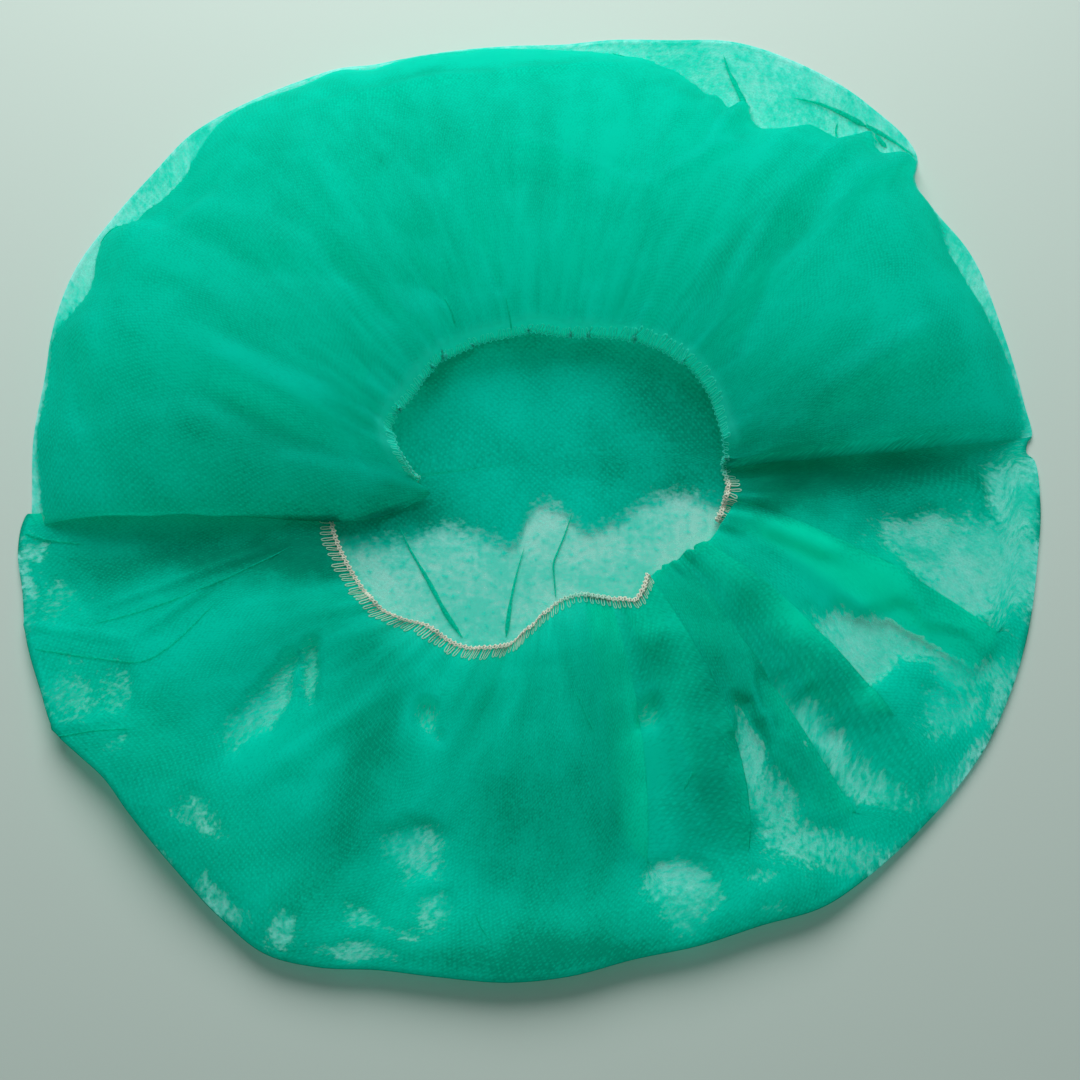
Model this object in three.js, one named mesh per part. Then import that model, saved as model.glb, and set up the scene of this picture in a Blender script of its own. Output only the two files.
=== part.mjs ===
// A round disposable hair cover, lying open side up on a table.
// Millimetres. +Z is up, out of the opening, +Y is towards the full pillow side, +X is to the right along the crease.
// The origin is under the middle of the cap, on the surface that it lies on.
import * as THREE from 'three';

// The outline, lying relaxed
const capWidth = 332;
const capDepth = 323;

// The cloth
const wall = 1.2;
const rimRadius = 2.6;

// Heights of the upper layer above the fold round the rim
const pillowRise = 35;
const lowerRise = 8;
const creaseRise = 2.5;
const foldRise = 4;

// The crease that runs across the cap, and how far from it each side is full
const creaseShift = -9.5;
const creaseTurn = 5.5;
const creaseReach = 64;

// The opening
const openingWidth = 128;
const openingDepth = 100;
const openingShift = -12;

// The elastic, and the gathers that it draws up
const elasticWidth = 2.4;
const elasticThickness = 1.8;
const clearance = 0.3;
const gatherCount = 27;
const gatherRise = 0.9;

// Shares of the way from the rim to the opening: where the gathers start, and how long folds and crease take to rise
const gatherStart = 0.72;
const foldRamp = 0.16;
const creaseRamp = 0.25;

// Share of creaseReach that the folds stay clear of
const creaseCalm = 0.2;

// How finely the surfaces are divided
const columnCount = 108;
const elasticSides = 8;
const fullTurn = 360;
const degree = Math.PI / 180;

// Rim outline: direction in degrees, and radius as a share of the ellipse of capWidth and capDepth
const rimTable = [
  { at: 0, out: 1.0 },
  { at: 3, out: 0.99 },
  { at: 10, out: 0.99 },
  { at: 20, out: 1.006 },
  { at: 31, out: 1.022 },
  { at: 39, out: 1.056 },
  { at: 49, out: 1.099 },
  { at: 58, out: 1.096 },
  { at: 66, out: 1.078 },
  { at: 78, out: 1.018 },
  { at: 89, out: 0.985 },
  { at: 99, out: 0.984 },
  { at: 108, out: 0.99 },
  { at: 116, out: 1.013 },
  { at: 126, out: 1.038 },
  { at: 134, out: 1.048 },
  { at: 148, out: 1.037 },
  { at: 156, out: 1.036 },
  { at: 162, out: 1.024 },
  { at: 169, out: 1.002 },
  { at: 183, out: 0.988 },
  { at: 189, out: 1.011 },
  { at: 200, out: 1.026 },
  { at: 211, out: 1.036 },
  { at: 218, out: 1.008 },
  { at: 230, out: 1.022 },
  { at: 243, out: 1.06 },
  { at: 250, out: 1.036 },
  { at: 259, out: 1.006 },
  { at: 270, out: 1.0 },
  { at: 282, out: 0.978 },
  { at: 294, out: 0.987 },
  { at: 303, out: 1.013 },
  { at: 322, out: 1.018 },
  { at: 334, out: 1.015 },
  { at: 348, out: 0.999 },
];

// Opening outline about its own centre: direction in degrees, and radius as a share of the opening's ellipse
const openingTable = [
  { at: 3, out: 0.985 },
  { at: 17, out: 1.06 },
  { at: 32, out: 1.093 },
  { at: 46, out: 1.11 },
  { at: 63, out: 1.065 },
  { at: 80, out: 1.015 },
  { at: 98, out: 0.998 },
  { at: 113, out: 0.973 },
  { at: 126, out: 0.92 },
  { at: 141, out: 0.86 },
  { at: 155, out: 0.79 },
  { at: 165, out: 0.7 },
  { at: 174, out: 0.66 },
  { at: 182, out: 0.8 },
  { at: 189, out: 0.98 },
  { at: 200, out: 1.018 },
  { at: 219, out: 1.047 },
  { at: 233, out: 1.005 },
  { at: 243, out: 1.032 },
  { at: 256, out: 1.0 },
  { at: 266, out: 0.9 },
  { at: 276, out: 0.762 },
  { at: 286, out: 0.7 },
  { at: 300, out: 0.735 },
  { at: 313, out: 0.82 },
  { at: 327, out: 0.79 },
  { at: 338, out: 0.89 },
  { at: 351, out: 0.955 },
];

// Height of the upper layer from the rim (along 0) to the opening (along 1), as shares of pillowRise or lowerRise
const profileTable = [
  { at: 0, pillow: 0, lower: 0 },
  { at: 0.06, pillow: 0.3, lower: 0.12 },
  { at: 0.15, pillow: 0.6, lower: 0.25 },
  { at: 0.3, pillow: 0.88, lower: 0.45 },
  { at: 0.5, pillow: 1.0, lower: 0.7 },
  { at: 0.7, pillow: 0.96, lower: 0.9 },
  { at: 0.86, pillow: 0.82, lower: 1.0 },
  { at: 1, pillow: 0.62, lower: 0.85 },
];

// How far in from the rim the pillow's two layers lie pressed together, by direction in degrees, as a share of the
// way from the rim to the opening
const pressedTable = [
  { at: 10, flat: 0.02 },
  { at: 29, flat: 0.1 },
  { at: 39, flat: 0.06 },
  { at: 48, flat: 0.2 },
  { at: 57, flat: 0.27 },
  { at: 66, flat: 0.22 },
  { at: 77, flat: 0.09 },
  { at: 92, flat: 0.02 },
  { at: 122, flat: 0.05 },
  { at: 138, flat: 0.07 },
  { at: 158, flat: 0.02 },
  { at: 200, flat: 0 },
  { at: 340, flat: 0 },
];

// How full each side is, by distance from the crease as a share of creaseReach
const creaseTable = [
  { at: -1, pillow: 0, lower: 1 },
  { at: -0.4, pillow: 0, lower: 0.85 },
  { at: -0.12, pillow: 0, lower: 0.45 },
  { at: 0, pillow: 0.04, lower: 0.2 },
  { at: 0.1, pillow: 0.34, lower: 0.08 },
  { at: 0.22, pillow: 0.56, lower: 0 },
  { at: 0.5, pillow: 0.82, lower: 0 },
  { at: 1, pillow: 1, lower: 0 },
];

// Folds of the upper layer. rim and hem are directions in degrees at the two ends, wide is half a width in degrees,
// rise is a share of foldRise, start and end say where it lies between the rim and the opening, and lean sharpens
// one side.
const foldTable = [
  { rim: 337, hem: 341, wide: 7, rise: 0.8, start: 0.08, end: 0.85, lean: 0.5 },
  { rim: 319, hem: 330, wide: 7, rise: 0.9, start: 0.12, end: 0.9, lean: 0.5 },
  { rim: 309, hem: 317, wide: 7, rise: 1.0, start: 0.05, end: 0.95, lean: 0.5 },
  { rim: 293, hem: 300, wide: 9, rise: 1.0, start: 0.04, end: 1.0, lean: 0.6 },
  { rim: 273, hem: 272, wide: 12, rise: 1.1, start: 0.03, end: 1.0, lean: -0.6 },
  { rim: 240, hem: 243, wide: 9, rise: 1.0, start: 0.04, end: 1.0, lean: 0.4 },
  { rim: 222, hem: 224, wide: 7, rise: 0.7, start: 0.1, end: 0.9, lean: -0.4 },
  { rim: 205, hem: 206, wide: 7, rise: 0.6, start: 0.08, end: 0.8, lean: 0.4 },
  { rim: 161, hem: 163, wide: 7, rise: 0.6, start: 0.35, end: 1.0, lean: 0.3 },
  { rim: 131, hem: 133, wide: 8, rise: 0.8, start: 0.4, end: 1.0, lean: -0.3 },
  { rim: 104, hem: 104, wide: 7, rise: 0.7, start: 0.5, end: 1.0, lean: 0.3 },
  { rim: 80, hem: 78, wide: 7, rise: 0.5, start: 0.5, end: 1.0, lean: 0.3 },
  { rim: 45, hem: 44, wide: 9, rise: 0.9, start: 0.4, end: 1.0, lean: -0.4 },
];

// Reads one column of a table at a place between its rows, along a smooth curve. A turn closes the table on itself.
function readTable(rows, column, at, turn = 0) {
  const count = rows.length;
  const first = rows[0].at;
  const row = (index) => {
    if (!turn) {
      return rows[THREE.MathUtils.clamp(index, 0, count - 1)];
    }
    const wraps = Math.floor(index / count);
    const found = rows[index - wraps * count];
    return { ...found, at: found.at + wraps * turn };
  };
  const wrapped = first + THREE.MathUtils.euclideanModulo(at - first, turn || 1);
  const place = turn ? wrapped : THREE.MathUtils.clamp(at, first, rows[count - 1].at);
  const passed = rows.filter((entry) => entry.at <= place).length;
  const before = turn ? passed - 1 : Math.min(passed - 1, count - 2);
  const [a, b, c, d] = [row(before - 1), row(before), row(before + 1), row(before + 2)];
  const span = c.at - b.at;
  const slopeAt = (left, right) => ((right[column] - left[column]) / (right.at - left.at)) * span;
  return hermite(b[column], c[column], slopeAt(a, c), slopeAt(b, d), (place - b.at) / span);
}

// A cubic from one value to the next with a slope given at each end
function hermite(from, to, slopeFrom, slopeTo, share) {
  const square = share * share;
  const cube = square * share;
  const ease = 3 * square - 2 * cube;
  return from * (1 - ease) + to * ease + slopeFrom * (cube - 2 * square + share) + slopeTo * (cube - square);
}

// Radius of an ellipse in one direction
function ellipseRadius(width, depth, direction) {
  const across = (2 * Math.cos(direction * degree)) / width;
  const along = (2 * Math.sin(direction * degree)) / depth;
  return 1 / Math.hypot(across, along);
}

function fromPolar(radius, direction) {
  return new THREE.Vector2(radius * Math.cos(direction * degree), radius * Math.sin(direction * degree));
}

// Points of a closed outline, one to a column
function outlinePoints(rows, width, depth, shift) {
  const points = [];
  for (let column = 0; column < columnCount; column += 1) {
    const direction = (column * fullTurn) / columnCount;
    const share = readTable(rows, 'out', direction, fullTurn);
    const point = fromPolar(share * ellipseRadius(width, depth, direction), direction);
    point.y += shift;
    points.push(point);
  }
  return points;
}

// The outward normal of a closed outline at each of its points
function outlineNormals(points) {
  return points.map((point, index) => {
    const next = points[(index + 1) % points.length];
    const last = points[(index - 1 + points.length) % points.length];
    const along = next.clone().sub(last).normalize();
    return new THREE.Vector2(along.y, -along.x);
  });
}

// Moves an outline outward, or inward where the distance is negative
function offsetOutline(points, distance) {
  const normals = outlineNormals(points);
  return points.map((point, index) => point.clone().addScaledVector(normals[index], distance));
}

// The distance from the crease, positive on the pillow's side
function distanceFromCrease(point) {
  return (point.y - creaseShift) * Math.cos(creaseTurn * degree) - point.x * Math.sin(creaseTurn * degree);
}

// How strongly a fold lifts the cloth at one direction and one place between the rim and the opening
function foldLift(fold, direction, along) {
  const centre = THREE.MathUtils.lerp(fold.rim, fold.hem, along);
  const halfTurn = fullTurn / 2;
  const away = THREE.MathUtils.euclideanModulo(direction - centre + halfTurn, fullTurn) - halfTurn;
  const place = THREE.MathUtils.clamp(away / fold.wide, -1, 1);
  const leaned = place + fold.lean * (1 - place * place);
  const across = Math.cos((leaned * Math.PI) / 2) ** 2;
  const grow = THREE.MathUtils.smoothstep(along, fold.start, fold.start + foldRamp);
  const fade = fold.end < 1 ? 1 - THREE.MathUtils.smoothstep(along, fold.end - foldRamp, fold.end) : 1;
  return across * grow * fade * fold.rise;
}

// Height of the upper layer over the flat layer
function upperHeight(point, direction, along) {
  const away = THREE.MathUtils.clamp(distanceFromCrease(point) / creaseReach, -1, 1);
  const pressed = readTable(pressedTable, 'flat', direction, fullTurn);
  const inward = Math.max(along - pressed, 0) / (1 - pressed);
  const pillow = readTable(profileTable, 'pillow', inward) * readTable(creaseTable, 'pillow', away) * pillowRise;
  const lower = readTable(profileTable, 'lower', along) * readTable(creaseTable, 'lower', away) * lowerRise;
  const crease = Math.min(along / creaseRamp, 1) * creaseRise;
  const folds = foldTable.reduce((sum, fold) => sum + foldLift(fold, direction, along), 0) * foldRise;
  const clearOfCrease = Math.min(Math.abs(away) / creaseCalm, 1);
  const gather = Math.cos(gatherCount * direction * degree) * gatherRise;
  const nearOpening = THREE.MathUtils.smoothstep(along, gatherStart, 1);
  return rimRadius * 2 + pillow + lower + crease + folds * clearOfCrease + gather * nearOpening;
}

// Where each row of the cloth lies: the flat layer, the fold round the rim, then the upper layer
const flatRows = [0.3, 0.62, 0.86];
const rimRows = [-90, -54, -18, 18, 54, 90];
const upperRows = [0.04, 0.09, 0.15, 0.22, 0.3, 0.39, 0.48, 0.57, 0.66, 0.74, 0.82, 0.89, 0.95, 1];

function crownRows(rim, hemEdge) {
  const rimCore = offsetOutline(rim, -rimRadius);
  const rows = flatRows.map((share) => rimCore.map((core) => new THREE.Vector3(core.x * share, core.y * share, 0)));
  const normals = outlineNormals(rim);
  rimRows.forEach((angle) => {
    const reach = rimRadius * Math.cos(angle * degree);
    const height = rimRadius * (1 + Math.sin(angle * degree));
    rows.push(
      rimCore.map((core, index) => {
        const point = core.clone().addScaledVector(normals[index], reach);
        return new THREE.Vector3(point.x, point.y, height);
      }),
    );
  });
  upperRows.forEach((along) => {
    rows.push(
      rimCore.map((core, index) => {
        const point = core.clone().lerp(hemEdge[index], along);
        const direction = (index * fullTurn) / columnCount;
        return new THREE.Vector3(point.x, point.y, upperHeight(point, direction, along));
      }),
    );
  });
  return rows;
}

// The direction square to a grid of rows at each of its points
function rowNormals(rows) {
  return rows.map((row, level) =>
    row.map((point, index) => {
      const next = row[(index + 1) % row.length];
      const last = row[(index - 1 + row.length) % row.length];
      const above = rows[Math.min(level + 1, rows.length - 1)][index];
      const below = rows[Math.max(level - 1, 0)][index];
      const around = next.clone().sub(last);
      const along = above.clone().sub(below);
      return around.cross(along).normalize();
    }),
  );
}

// Joins an outer and an inner grid into one closed wall, with a pole in the middle of the flat layer
function wallGeometry(outer, inner, outerPole, innerPole) {
  const width = outer[0].length;
  const positions = [];
  [outer, inner].forEach((grid) => grid.forEach((row) => row.forEach((point) => positions.push(...point.toArray()))));
  positions.push(...outerPole.toArray(), ...innerPole.toArray());
  const sideSize = outer.length * width;
  const poleIndex = [sideSize * 2, sideSize * 2 + 1];
  const at = (side, level, index) => side * sideSize + level * width + (index % width);
  const triangles = [];
  const addQuad = (a, b, c, d) => triangles.push(a, b, c, a, c, d);
  for (let index = 0; index < width; index += 1) {
    triangles.push(poleIndex[0], at(0, 0, index + 1), at(0, 0, index));
    triangles.push(poleIndex[1], at(1, 0, index), at(1, 0, index + 1));
    for (let level = 0; level + 1 < outer.length; level += 1) {
      addQuad(at(0, level, index), at(0, level, index + 1), at(0, level + 1, index + 1), at(0, level + 1, index));
      addQuad(at(1, level, index), at(1, level + 1, index), at(1, level + 1, index + 1), at(1, level, index + 1));
    }
    const last = outer.length - 1;
    addQuad(at(0, last, index), at(0, last, index + 1), at(1, last, index + 1), at(1, last, index));
  }
  const geometry = new THREE.BufferGeometry();
  geometry.setAttribute('position', new THREE.Float32BufferAttribute(positions, 3));
  geometry.setIndex(triangles);
  return geometry;
}

function makeCrown(rim, hemEdge) {
  const outer = crownRows(rim, hemEdge);
  const normals = rowNormals(outer);
  const inner = outer.map((row, level) =>
    row.map((point, index) => {
      if (level < flatRows.length) return point.clone().setZ(wall);
      return point.clone().addScaledVector(normals[level][index], -wall);
    }),
  );
  const geometry = wallGeometry(outer, inner, new THREE.Vector3(), new THREE.Vector3(0, 0, wall));
  const material = new THREE.MeshStandardMaterial({ color: 0x12b098, roughness: 0.85, metalness: 0 });
  const crown = new THREE.Mesh(geometry, material);
  crown.name = 'crown';
  return { crown, hemRow: outer[outer.length - 1], hemNormals: normals[outer.length - 1] };
}

// The elastic follows the cloth's edge at one clearance, level with the middle of the wall
function makeElastic(hemEdge, hemRow, hemNormals) {
  const centreLine = offsetOutline(hemEdge, -(elasticWidth / 2 + clearance));
  const inward = outlineNormals(hemEdge);
  const positions = [];
  centreLine.forEach((point, index) => {
    const middle = hemRow[index].z - (hemNormals[index].z * wall) / 2;
    for (let side = 0; side < elasticSides; side += 1) {
      const turn = (side * Math.PI * 2) / elasticSides;
      const reach = (Math.cos(turn) * elasticWidth) / 2;
      const place = point.clone().addScaledVector(inward[index], reach);
      positions.push(place.x, place.y, middle + (Math.sin(turn) * elasticThickness) / 2);
    }
  });
  const triangles = [];
  const at = (index, side) => (index % columnCount) * elasticSides + (side % elasticSides);
  for (let index = 0; index < columnCount; index += 1) {
    for (let side = 0; side < elasticSides; side += 1) {
      const [a, b, c, d] = [at(index, side), at(index + 1, side), at(index + 1, side + 1), at(index, side + 1)];
      triangles.push(a, b, c, a, c, d);
    }
  }
  const geometry = new THREE.BufferGeometry();
  geometry.setAttribute('position', new THREE.Float32BufferAttribute(positions, 3));
  geometry.setIndex(triangles);
  const material = new THREE.MeshStandardMaterial({ color: 0xe9dfcd, roughness: 0.7, metalness: 0 });
  const elastic = new THREE.Mesh(geometry, material);
  elastic.name = 'elastic_hem';
  return elastic;
}

const rimOutline = outlinePoints(rimTable, capWidth, capDepth, 0);
const openingOutline = outlinePoints(openingTable, openingWidth, openingDepth, openingShift);
const hemOutline = offsetOutline(openingOutline, elasticWidth + clearance);
const { crown, hemRow, hemNormals } = makeCrown(rimOutline, hemOutline);

const cap = new THREE.Group();
cap.add(crown);
cap.add(makeElastic(hemOutline, hemRow, hemNormals));

// The cap's middle goes over the origin
const bounds = new THREE.Box3().setFromObject(crown);
const middle = bounds.getCenter(new THREE.Vector3());
cap.position.set(-middle.x, -middle.y, 0);

export default cap;
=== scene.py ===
import math
import bpy
import numpy as np
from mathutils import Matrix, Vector
from mathutils.bvhtree import BVHTree


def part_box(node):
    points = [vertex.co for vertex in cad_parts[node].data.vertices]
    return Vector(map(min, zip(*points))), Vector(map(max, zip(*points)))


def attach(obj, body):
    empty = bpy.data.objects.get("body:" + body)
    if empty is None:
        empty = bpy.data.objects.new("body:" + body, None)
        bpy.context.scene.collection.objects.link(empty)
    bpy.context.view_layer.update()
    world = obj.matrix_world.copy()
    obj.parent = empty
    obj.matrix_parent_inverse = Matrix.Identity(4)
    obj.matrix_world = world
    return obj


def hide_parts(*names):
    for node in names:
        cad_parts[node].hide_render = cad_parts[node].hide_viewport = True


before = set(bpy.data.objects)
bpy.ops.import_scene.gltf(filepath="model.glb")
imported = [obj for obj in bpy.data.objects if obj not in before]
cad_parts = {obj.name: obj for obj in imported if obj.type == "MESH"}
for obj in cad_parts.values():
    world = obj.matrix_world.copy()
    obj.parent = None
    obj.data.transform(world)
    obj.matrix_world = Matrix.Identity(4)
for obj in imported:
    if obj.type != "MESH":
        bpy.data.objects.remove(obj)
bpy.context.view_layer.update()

# The frame's sizes, in metres
crownLow, crownHigh = (np.array(corner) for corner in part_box("crown"))
halfWidth = (crownHigh[0] - crownLow[0]) / 2
halfDepth = (crownHigh[1] - crownLow[1]) / 2


# Small helpers

fullTurn = 360
latticeSize = 64
noiseMiddle = 0.5


def nodeGroup(name, inputs, outputs):
    group = bpy.data.node_groups.new(name, "ShaderNodeTree")
    for label, kind, value in inputs:
        socket = group.interface.new_socket(label, in_out="INPUT", socket_type=kind)
        if value is not None:
            socket.default_value = value
    for label, kind in outputs:
        group.interface.new_socket(label, in_out="OUTPUT", socket_type=kind)
    return group, group.nodes.new("NodeGroupInput"), group.nodes.new("NodeGroupOutput")


def addNode(tree, kind, inputs=None, **settings):
    # a node whose inputs are given as values or as the sockets to link to them
    node = tree.nodes.new(kind)
    for key, value in settings.items():
        setattr(node, key, value)
    for key, value in (inputs or {}).items():
        if isinstance(value, bpy.types.NodeSocket):
            tree.links.new(value, node.inputs[key])
        else:
            node.inputs[key].default_value = value
    return node


def addMath(tree, operation, *values, clamp=False):
    node = addNode(tree, "ShaderNodeMath", dict(enumerate(values)), operation=operation, use_clamp=clamp)
    return node.outputs[0]


def addVectorMath(tree, operation, *values):
    return addNode(tree, "ShaderNodeVectorMath", dict(enumerate(values)), operation=operation).outputs[0]


def addSwing(tree, value, amount, base):
    # the base, moved by the amount as the value swings round its middle
    return addMath(tree, "MULTIPLY_ADD", addMath(tree, "SUBTRACT", value, noiseMiddle), amount, base)


def addRange(tree, value, start=0.0, end=1.0, low=0.0, high=1.0, interpolation="LINEAR"):
    node = addNode(tree, "ShaderNodeMapRange", {"Value": value, "From Min": start, "From Max": end,
                                                "To Min": low, "To Max": high},
                   interpolation_type=interpolation)
    return node.outputs["Result"]


def addNoise(tree, place, scale, detail, roughness=0.5, distortion=0.0):
    node = addNode(tree, "ShaderNodeTexNoise", {"Vector": place, "Scale": scale, "Detail": detail,
                                                "Roughness": roughness, "Distortion": distortion})
    return node.outputs["Fac"]


def addFuzz(tree, height, strength, distance):
    values = {"Height": height, "Strength": strength, "Distance": distance}
    return addNode(tree, "ShaderNodeBump", values).outputs["Normal"]


def mixColour(tree, share, first, second):
    # the colour sockets of a mix node stand at places 0, 6 and 7, and its result at 2
    return addNode(tree, "ShaderNodeMix", {0: share, 6: first, 7: second}, data_type="RGBA").outputs[2]


def readAttribute(tree, name, output="Fac"):
    return addNode(tree, "ShaderNodeAttribute", attribute_name=name).outputs[output]


def smoothStep(low, high, value):
    share = np.clip((value - low) / (high - low), 0.0, 1.0)
    return share * share * (3.0 - 2.0 * share)


def readTable(rows, column, at, turn=None):
    # a smooth curve through one column of a table of rows, closed on itself where a turn is given
    places = np.array([row[0] for row in rows], dtype=float)
    values = np.array([row[column] for row in rows], dtype=float)
    at = np.asarray(at, dtype=float)
    if turn:
        places = np.concatenate([places[-2:] - turn, places, places[:3] + turn])
        values = np.concatenate([values[-2:], values, values[:3]])
        at = places[2] + np.mod(at - places[2], turn)
    else:
        at = np.clip(at, places[0], places[-1])
    slopes = np.gradient(values, places)
    before = np.clip(np.searchsorted(places, at, side="right") - 1, 0, len(places) - 2)
    span = places[before + 1] - places[before]
    share = (at - places[before]) / span
    ease = share * share * (3.0 - 2.0 * share)
    leave = share * (1.0 - share) ** 2
    arrive = share * share * (share - 1.0)
    return (values[before] * (1.0 - ease) + values[before + 1] * ease
            + (slopes[before] * leave + slopes[before + 1] * arrive) * span)


def readAround(rows, column, turn):
    # a table by direction
    return readTable(rows, column, turn, fullTurn)


def softNoise(x, y, cell, seed):
    # smooth noise between -1 and 1 on a lattice of the given cell size
    lattice = np.random.default_rng(seed).uniform(-1.0, 1.0, (latticeSize, latticeSize))
    gridX, gridY = np.floor(x / cell), np.floor(y / cell)
    shareX, shareY = x / cell - gridX, y / cell - gridY
    easeX = shareX ** 3 * (shareX * (shareX * 6 - 15) + 10)
    easeY = shareY ** 3 * (shareY * (shareY * 6 - 15) + 10)
    left, low = gridX.astype(int) % latticeSize, gridY.astype(int) % latticeSize
    right, high = (left + 1) % latticeSize, (low + 1) % latticeSize
    bottom = lattice[left, low] * (1 - easeX) + lattice[right, low] * easeX
    top = lattice[left, high] * (1 - easeX) + lattice[right, high] * easeX
    return bottom * (1 - easeY) + top * easeY


def sumNoise(x, y, waves):
    # several noises on top of each other: cell, seed and amount of each
    return sum(softNoise(x, y, cell, seed) * amount for cell, seed, amount in waves)


def unitVectors(vectors):
    return vectors / np.maximum(np.linalg.norm(vectors, axis=-1, keepdims=True), 1e-9)


def ringAngles(sides):
    return np.arange(sides) * 2 * math.pi / sides


def tubeFaces(rings, sides, first=0):
    # the faces between rings of points, each ring joined to the next
    faces = []
    for ring in range(rings - 1):
        near, far = first + ring * sides, first + (ring + 1) * sides
        for side in range(sides):
            following = (side + 1) % sides
            faces.append((near + side, near + following, far + following, far + side))
    return faces


def makePiece(name, points, faces, pointValues):
    # a smooth mesh with its named values at every point
    mesh = bpy.data.meshes.new(name)
    mesh.from_pydata(points.tolist(), [], faces)
    for label, values in pointValues.items():
        layer = mesh.attributes.new(label, "FLOAT", "POINT")
        layer.data.foreach_set("value", values.astype(np.float32))
    mesh.shade_smooth()
    piece = bpy.data.objects.new(name, mesh)
    bpy.context.collection.objects.link(piece)
    return piece


# Camera, light and floor

view = {
    "elevation": 74.0,
    "lens": 50.0,
    "sensor": 36.0,
    "nearest": 0.01,
    "distance": 0.485,
    "target": (0.0025, -0.0244, 0.0),
    "floorSize": 3.0,
    "floorDrop": 0.0002,
    "floorColour": (0.51, 0.60, 0.56, 1.0),
    "floorRoughness": 0.6,
    "floorShine": 0.2,
    "keySize": 0.75,
    "keyPlace": (-0.05, 0.60, 0.62),
    "keyPower": 8.7,
    "keyColour": (0.97, 1.0, 0.97),
    "skyColour": (0.90, 0.97, 0.96),
    "skyStrength": 0.22,
}


def makeView():
    tilt = math.radians(view["elevation"])
    target = Vector(view["target"])
    back = Vector((0.0, -math.cos(tilt), math.sin(tilt)))
    bpy.ops.object.camera_add(location=target + back * view["distance"],
                              rotation=(math.radians(90) - tilt, 0.0, 0.0))
    camera = bpy.context.object
    camera.name = "viewCamera"
    camera.data.lens = view["lens"]
    camera.data.sensor_width = view["sensor"]
    camera.data.clip_start = view["nearest"]
    bpy.context.scene.camera = camera


def makeLights():
    place = Vector(view["keyPlace"])
    bpy.ops.object.light_add(type="AREA", location=place)
    key = bpy.context.object
    key.name = "keyLight"
    key.data.shape = "DISK"
    key.data.size = view["keySize"]
    key.data.energy = view["keyPower"]
    key.data.color = view["keyColour"]
    key.rotation_euler = (-place).to_track_quat("-Z", "Y").to_euler()
    world = bpy.data.worlds.new("softRoom")
    bpy.context.scene.world = world
    world.use_nodes = True
    sky = world.node_tree.nodes["Background"]
    sky.inputs["Color"].default_value = (*view["skyColour"], 1.0)
    sky.inputs["Strength"].default_value = view["skyStrength"]
    bpy.context.scene.view_settings.view_transform = "Standard"


def makeFloor():
    bpy.ops.mesh.primitive_plane_add(size=view["floorSize"],
                                     location=(0.0, 0.0, -view["floorDrop"]))
    floor = bpy.context.object
    floor.name = "paleFloor"
    bpy.ops.object.transform_apply(location=True)
    material = bpy.data.materials.new("paleFloor")
    material.use_nodes = True
    shader = material.node_tree.nodes["Principled BSDF"]
    shader.inputs["Base Color"].default_value = view["floorColour"]
    shader.inputs["Roughness"].default_value = view["floorRoughness"]
    shader.inputs["Specular IOR Level"].default_value = view["floorShine"]
    floor.data.materials.append(material)


bpy.ops.object.select_all(action="DESELECT")
makeView()
makeLights()
makeFloor()
print("camera, light and floor made")

# The cloth. Places and lengths in its tables are shares of the frame's half width and half depth, and
# directions are in degrees, unless a note says otherwise.

# Settings of the cloth's form
form = {
    "flatRows": 42,
    "rimRows": 5,
    "upperRows": 84,
    "stripRows": 7,
    "floorGap": 0.0003,
    "layerGap": 0.0005,
    "pillowRise": 0.0375,
    "lowerRise": 0.007,
    "archRise": 0.009,
    "pleatStep": 0.0005,
    "pleatHalf": 2.2,
    "pleatEases": 4.0,
    "pleatOpens": 1.5,
    "pleatHides": 0.6,
    "pleatReach": 30,
    "bendShare": 0.25,
    "edgeLow": 0.35,
    "edgeEases": 2.6,
    "foldWidth": 0.06,
    "scallopSpan": 8.0,
    "scallopDepth": 0.035,
    "stripLength": 0.0056,
    "rollRadius": 0.00022,
    "rollTurn": 165,
    "touchWaver": 0.026,
    "shadeWaver": 0.020,
    "shadeFade": 0.8,
    "sinkShare": 0.8,
    "sinkFull": 0.55,
    "lowerClear": 0.0026,
    "pillowClear": 0.0022,
    "foldFull": 0.012,
    "looseFull": 0.004,
    "deepestWrinkle": 0.0006,
    "archWaver": 0.004,
    "archCell": 0.016,
    "archSeed": 35,
    "archSlopes": ((0.30, 0.8), (0.07, 0.2)),
    "archEnds": (0.55, 0.985, 0.62),
    "rimRise": (0.80, 1.3),
    "pressedWaver": 0.16,
    "gatherRise": 0.0009,
    "crumpleRise": 0.0009,
    "pillowCrumple": 0.8,
    "facetMiddle": 0.4,
    "facetWeights": (2.0, 1.0, 0.25),
    "pinchSides": 8,
    "pinchRings": 26,
    "pinchEasings": 3,
    "pinchEnd": 0.14,
    "pinchLift": 0.0002,
    "pinchRise": 0.00035,
    "pinchWaver": 0.3,
    "flatArea": 0.2206,
    "flatSize": (0.53, 0.53),
}

# Noises: cell, seed and amount. The ovals' cells are shares, the wrinkles' are metres, and those of the waves
# around the cap are hundreds of degrees.
ovalWavesX = ((0.10, 31, 1.0), (0.037, 32, 0.45))
ovalWavesY = ((0.09, 33, 1.0), (0.033, 34, 0.45))
wrinkleWaves = ((0.021, 5, 0.9), (0.011, 6, 0.4))
aroundWaves = ((0.05, 8, 1.0), (0.023, 9, 0.5))

# Gathers, from fine ones by the opening to broad ones further out: cell, where they start, amount
gatherWaves = ((0.030, 0.86, 1.3), (0.055, 0.72, 1.6), (0.10, 0.50, 2.0), (0.19, 0.22, 2.4))

# Directions over which each of these eases in and out again: from, full from, full to, to
spans = {
    "pillow": (4.0, 8.0, 178.0, 182.0),
    "gathers": (8.0, 14.0, 362.0, 368.0),
    "scallops": (303, 309, 329, 336),
    "underTurned": (10, 20, 160, 172),
}

# Directions that the pleats leave where they are
fixedTurns = (8.0, 178.0, 200.0, 368.0)

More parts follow.
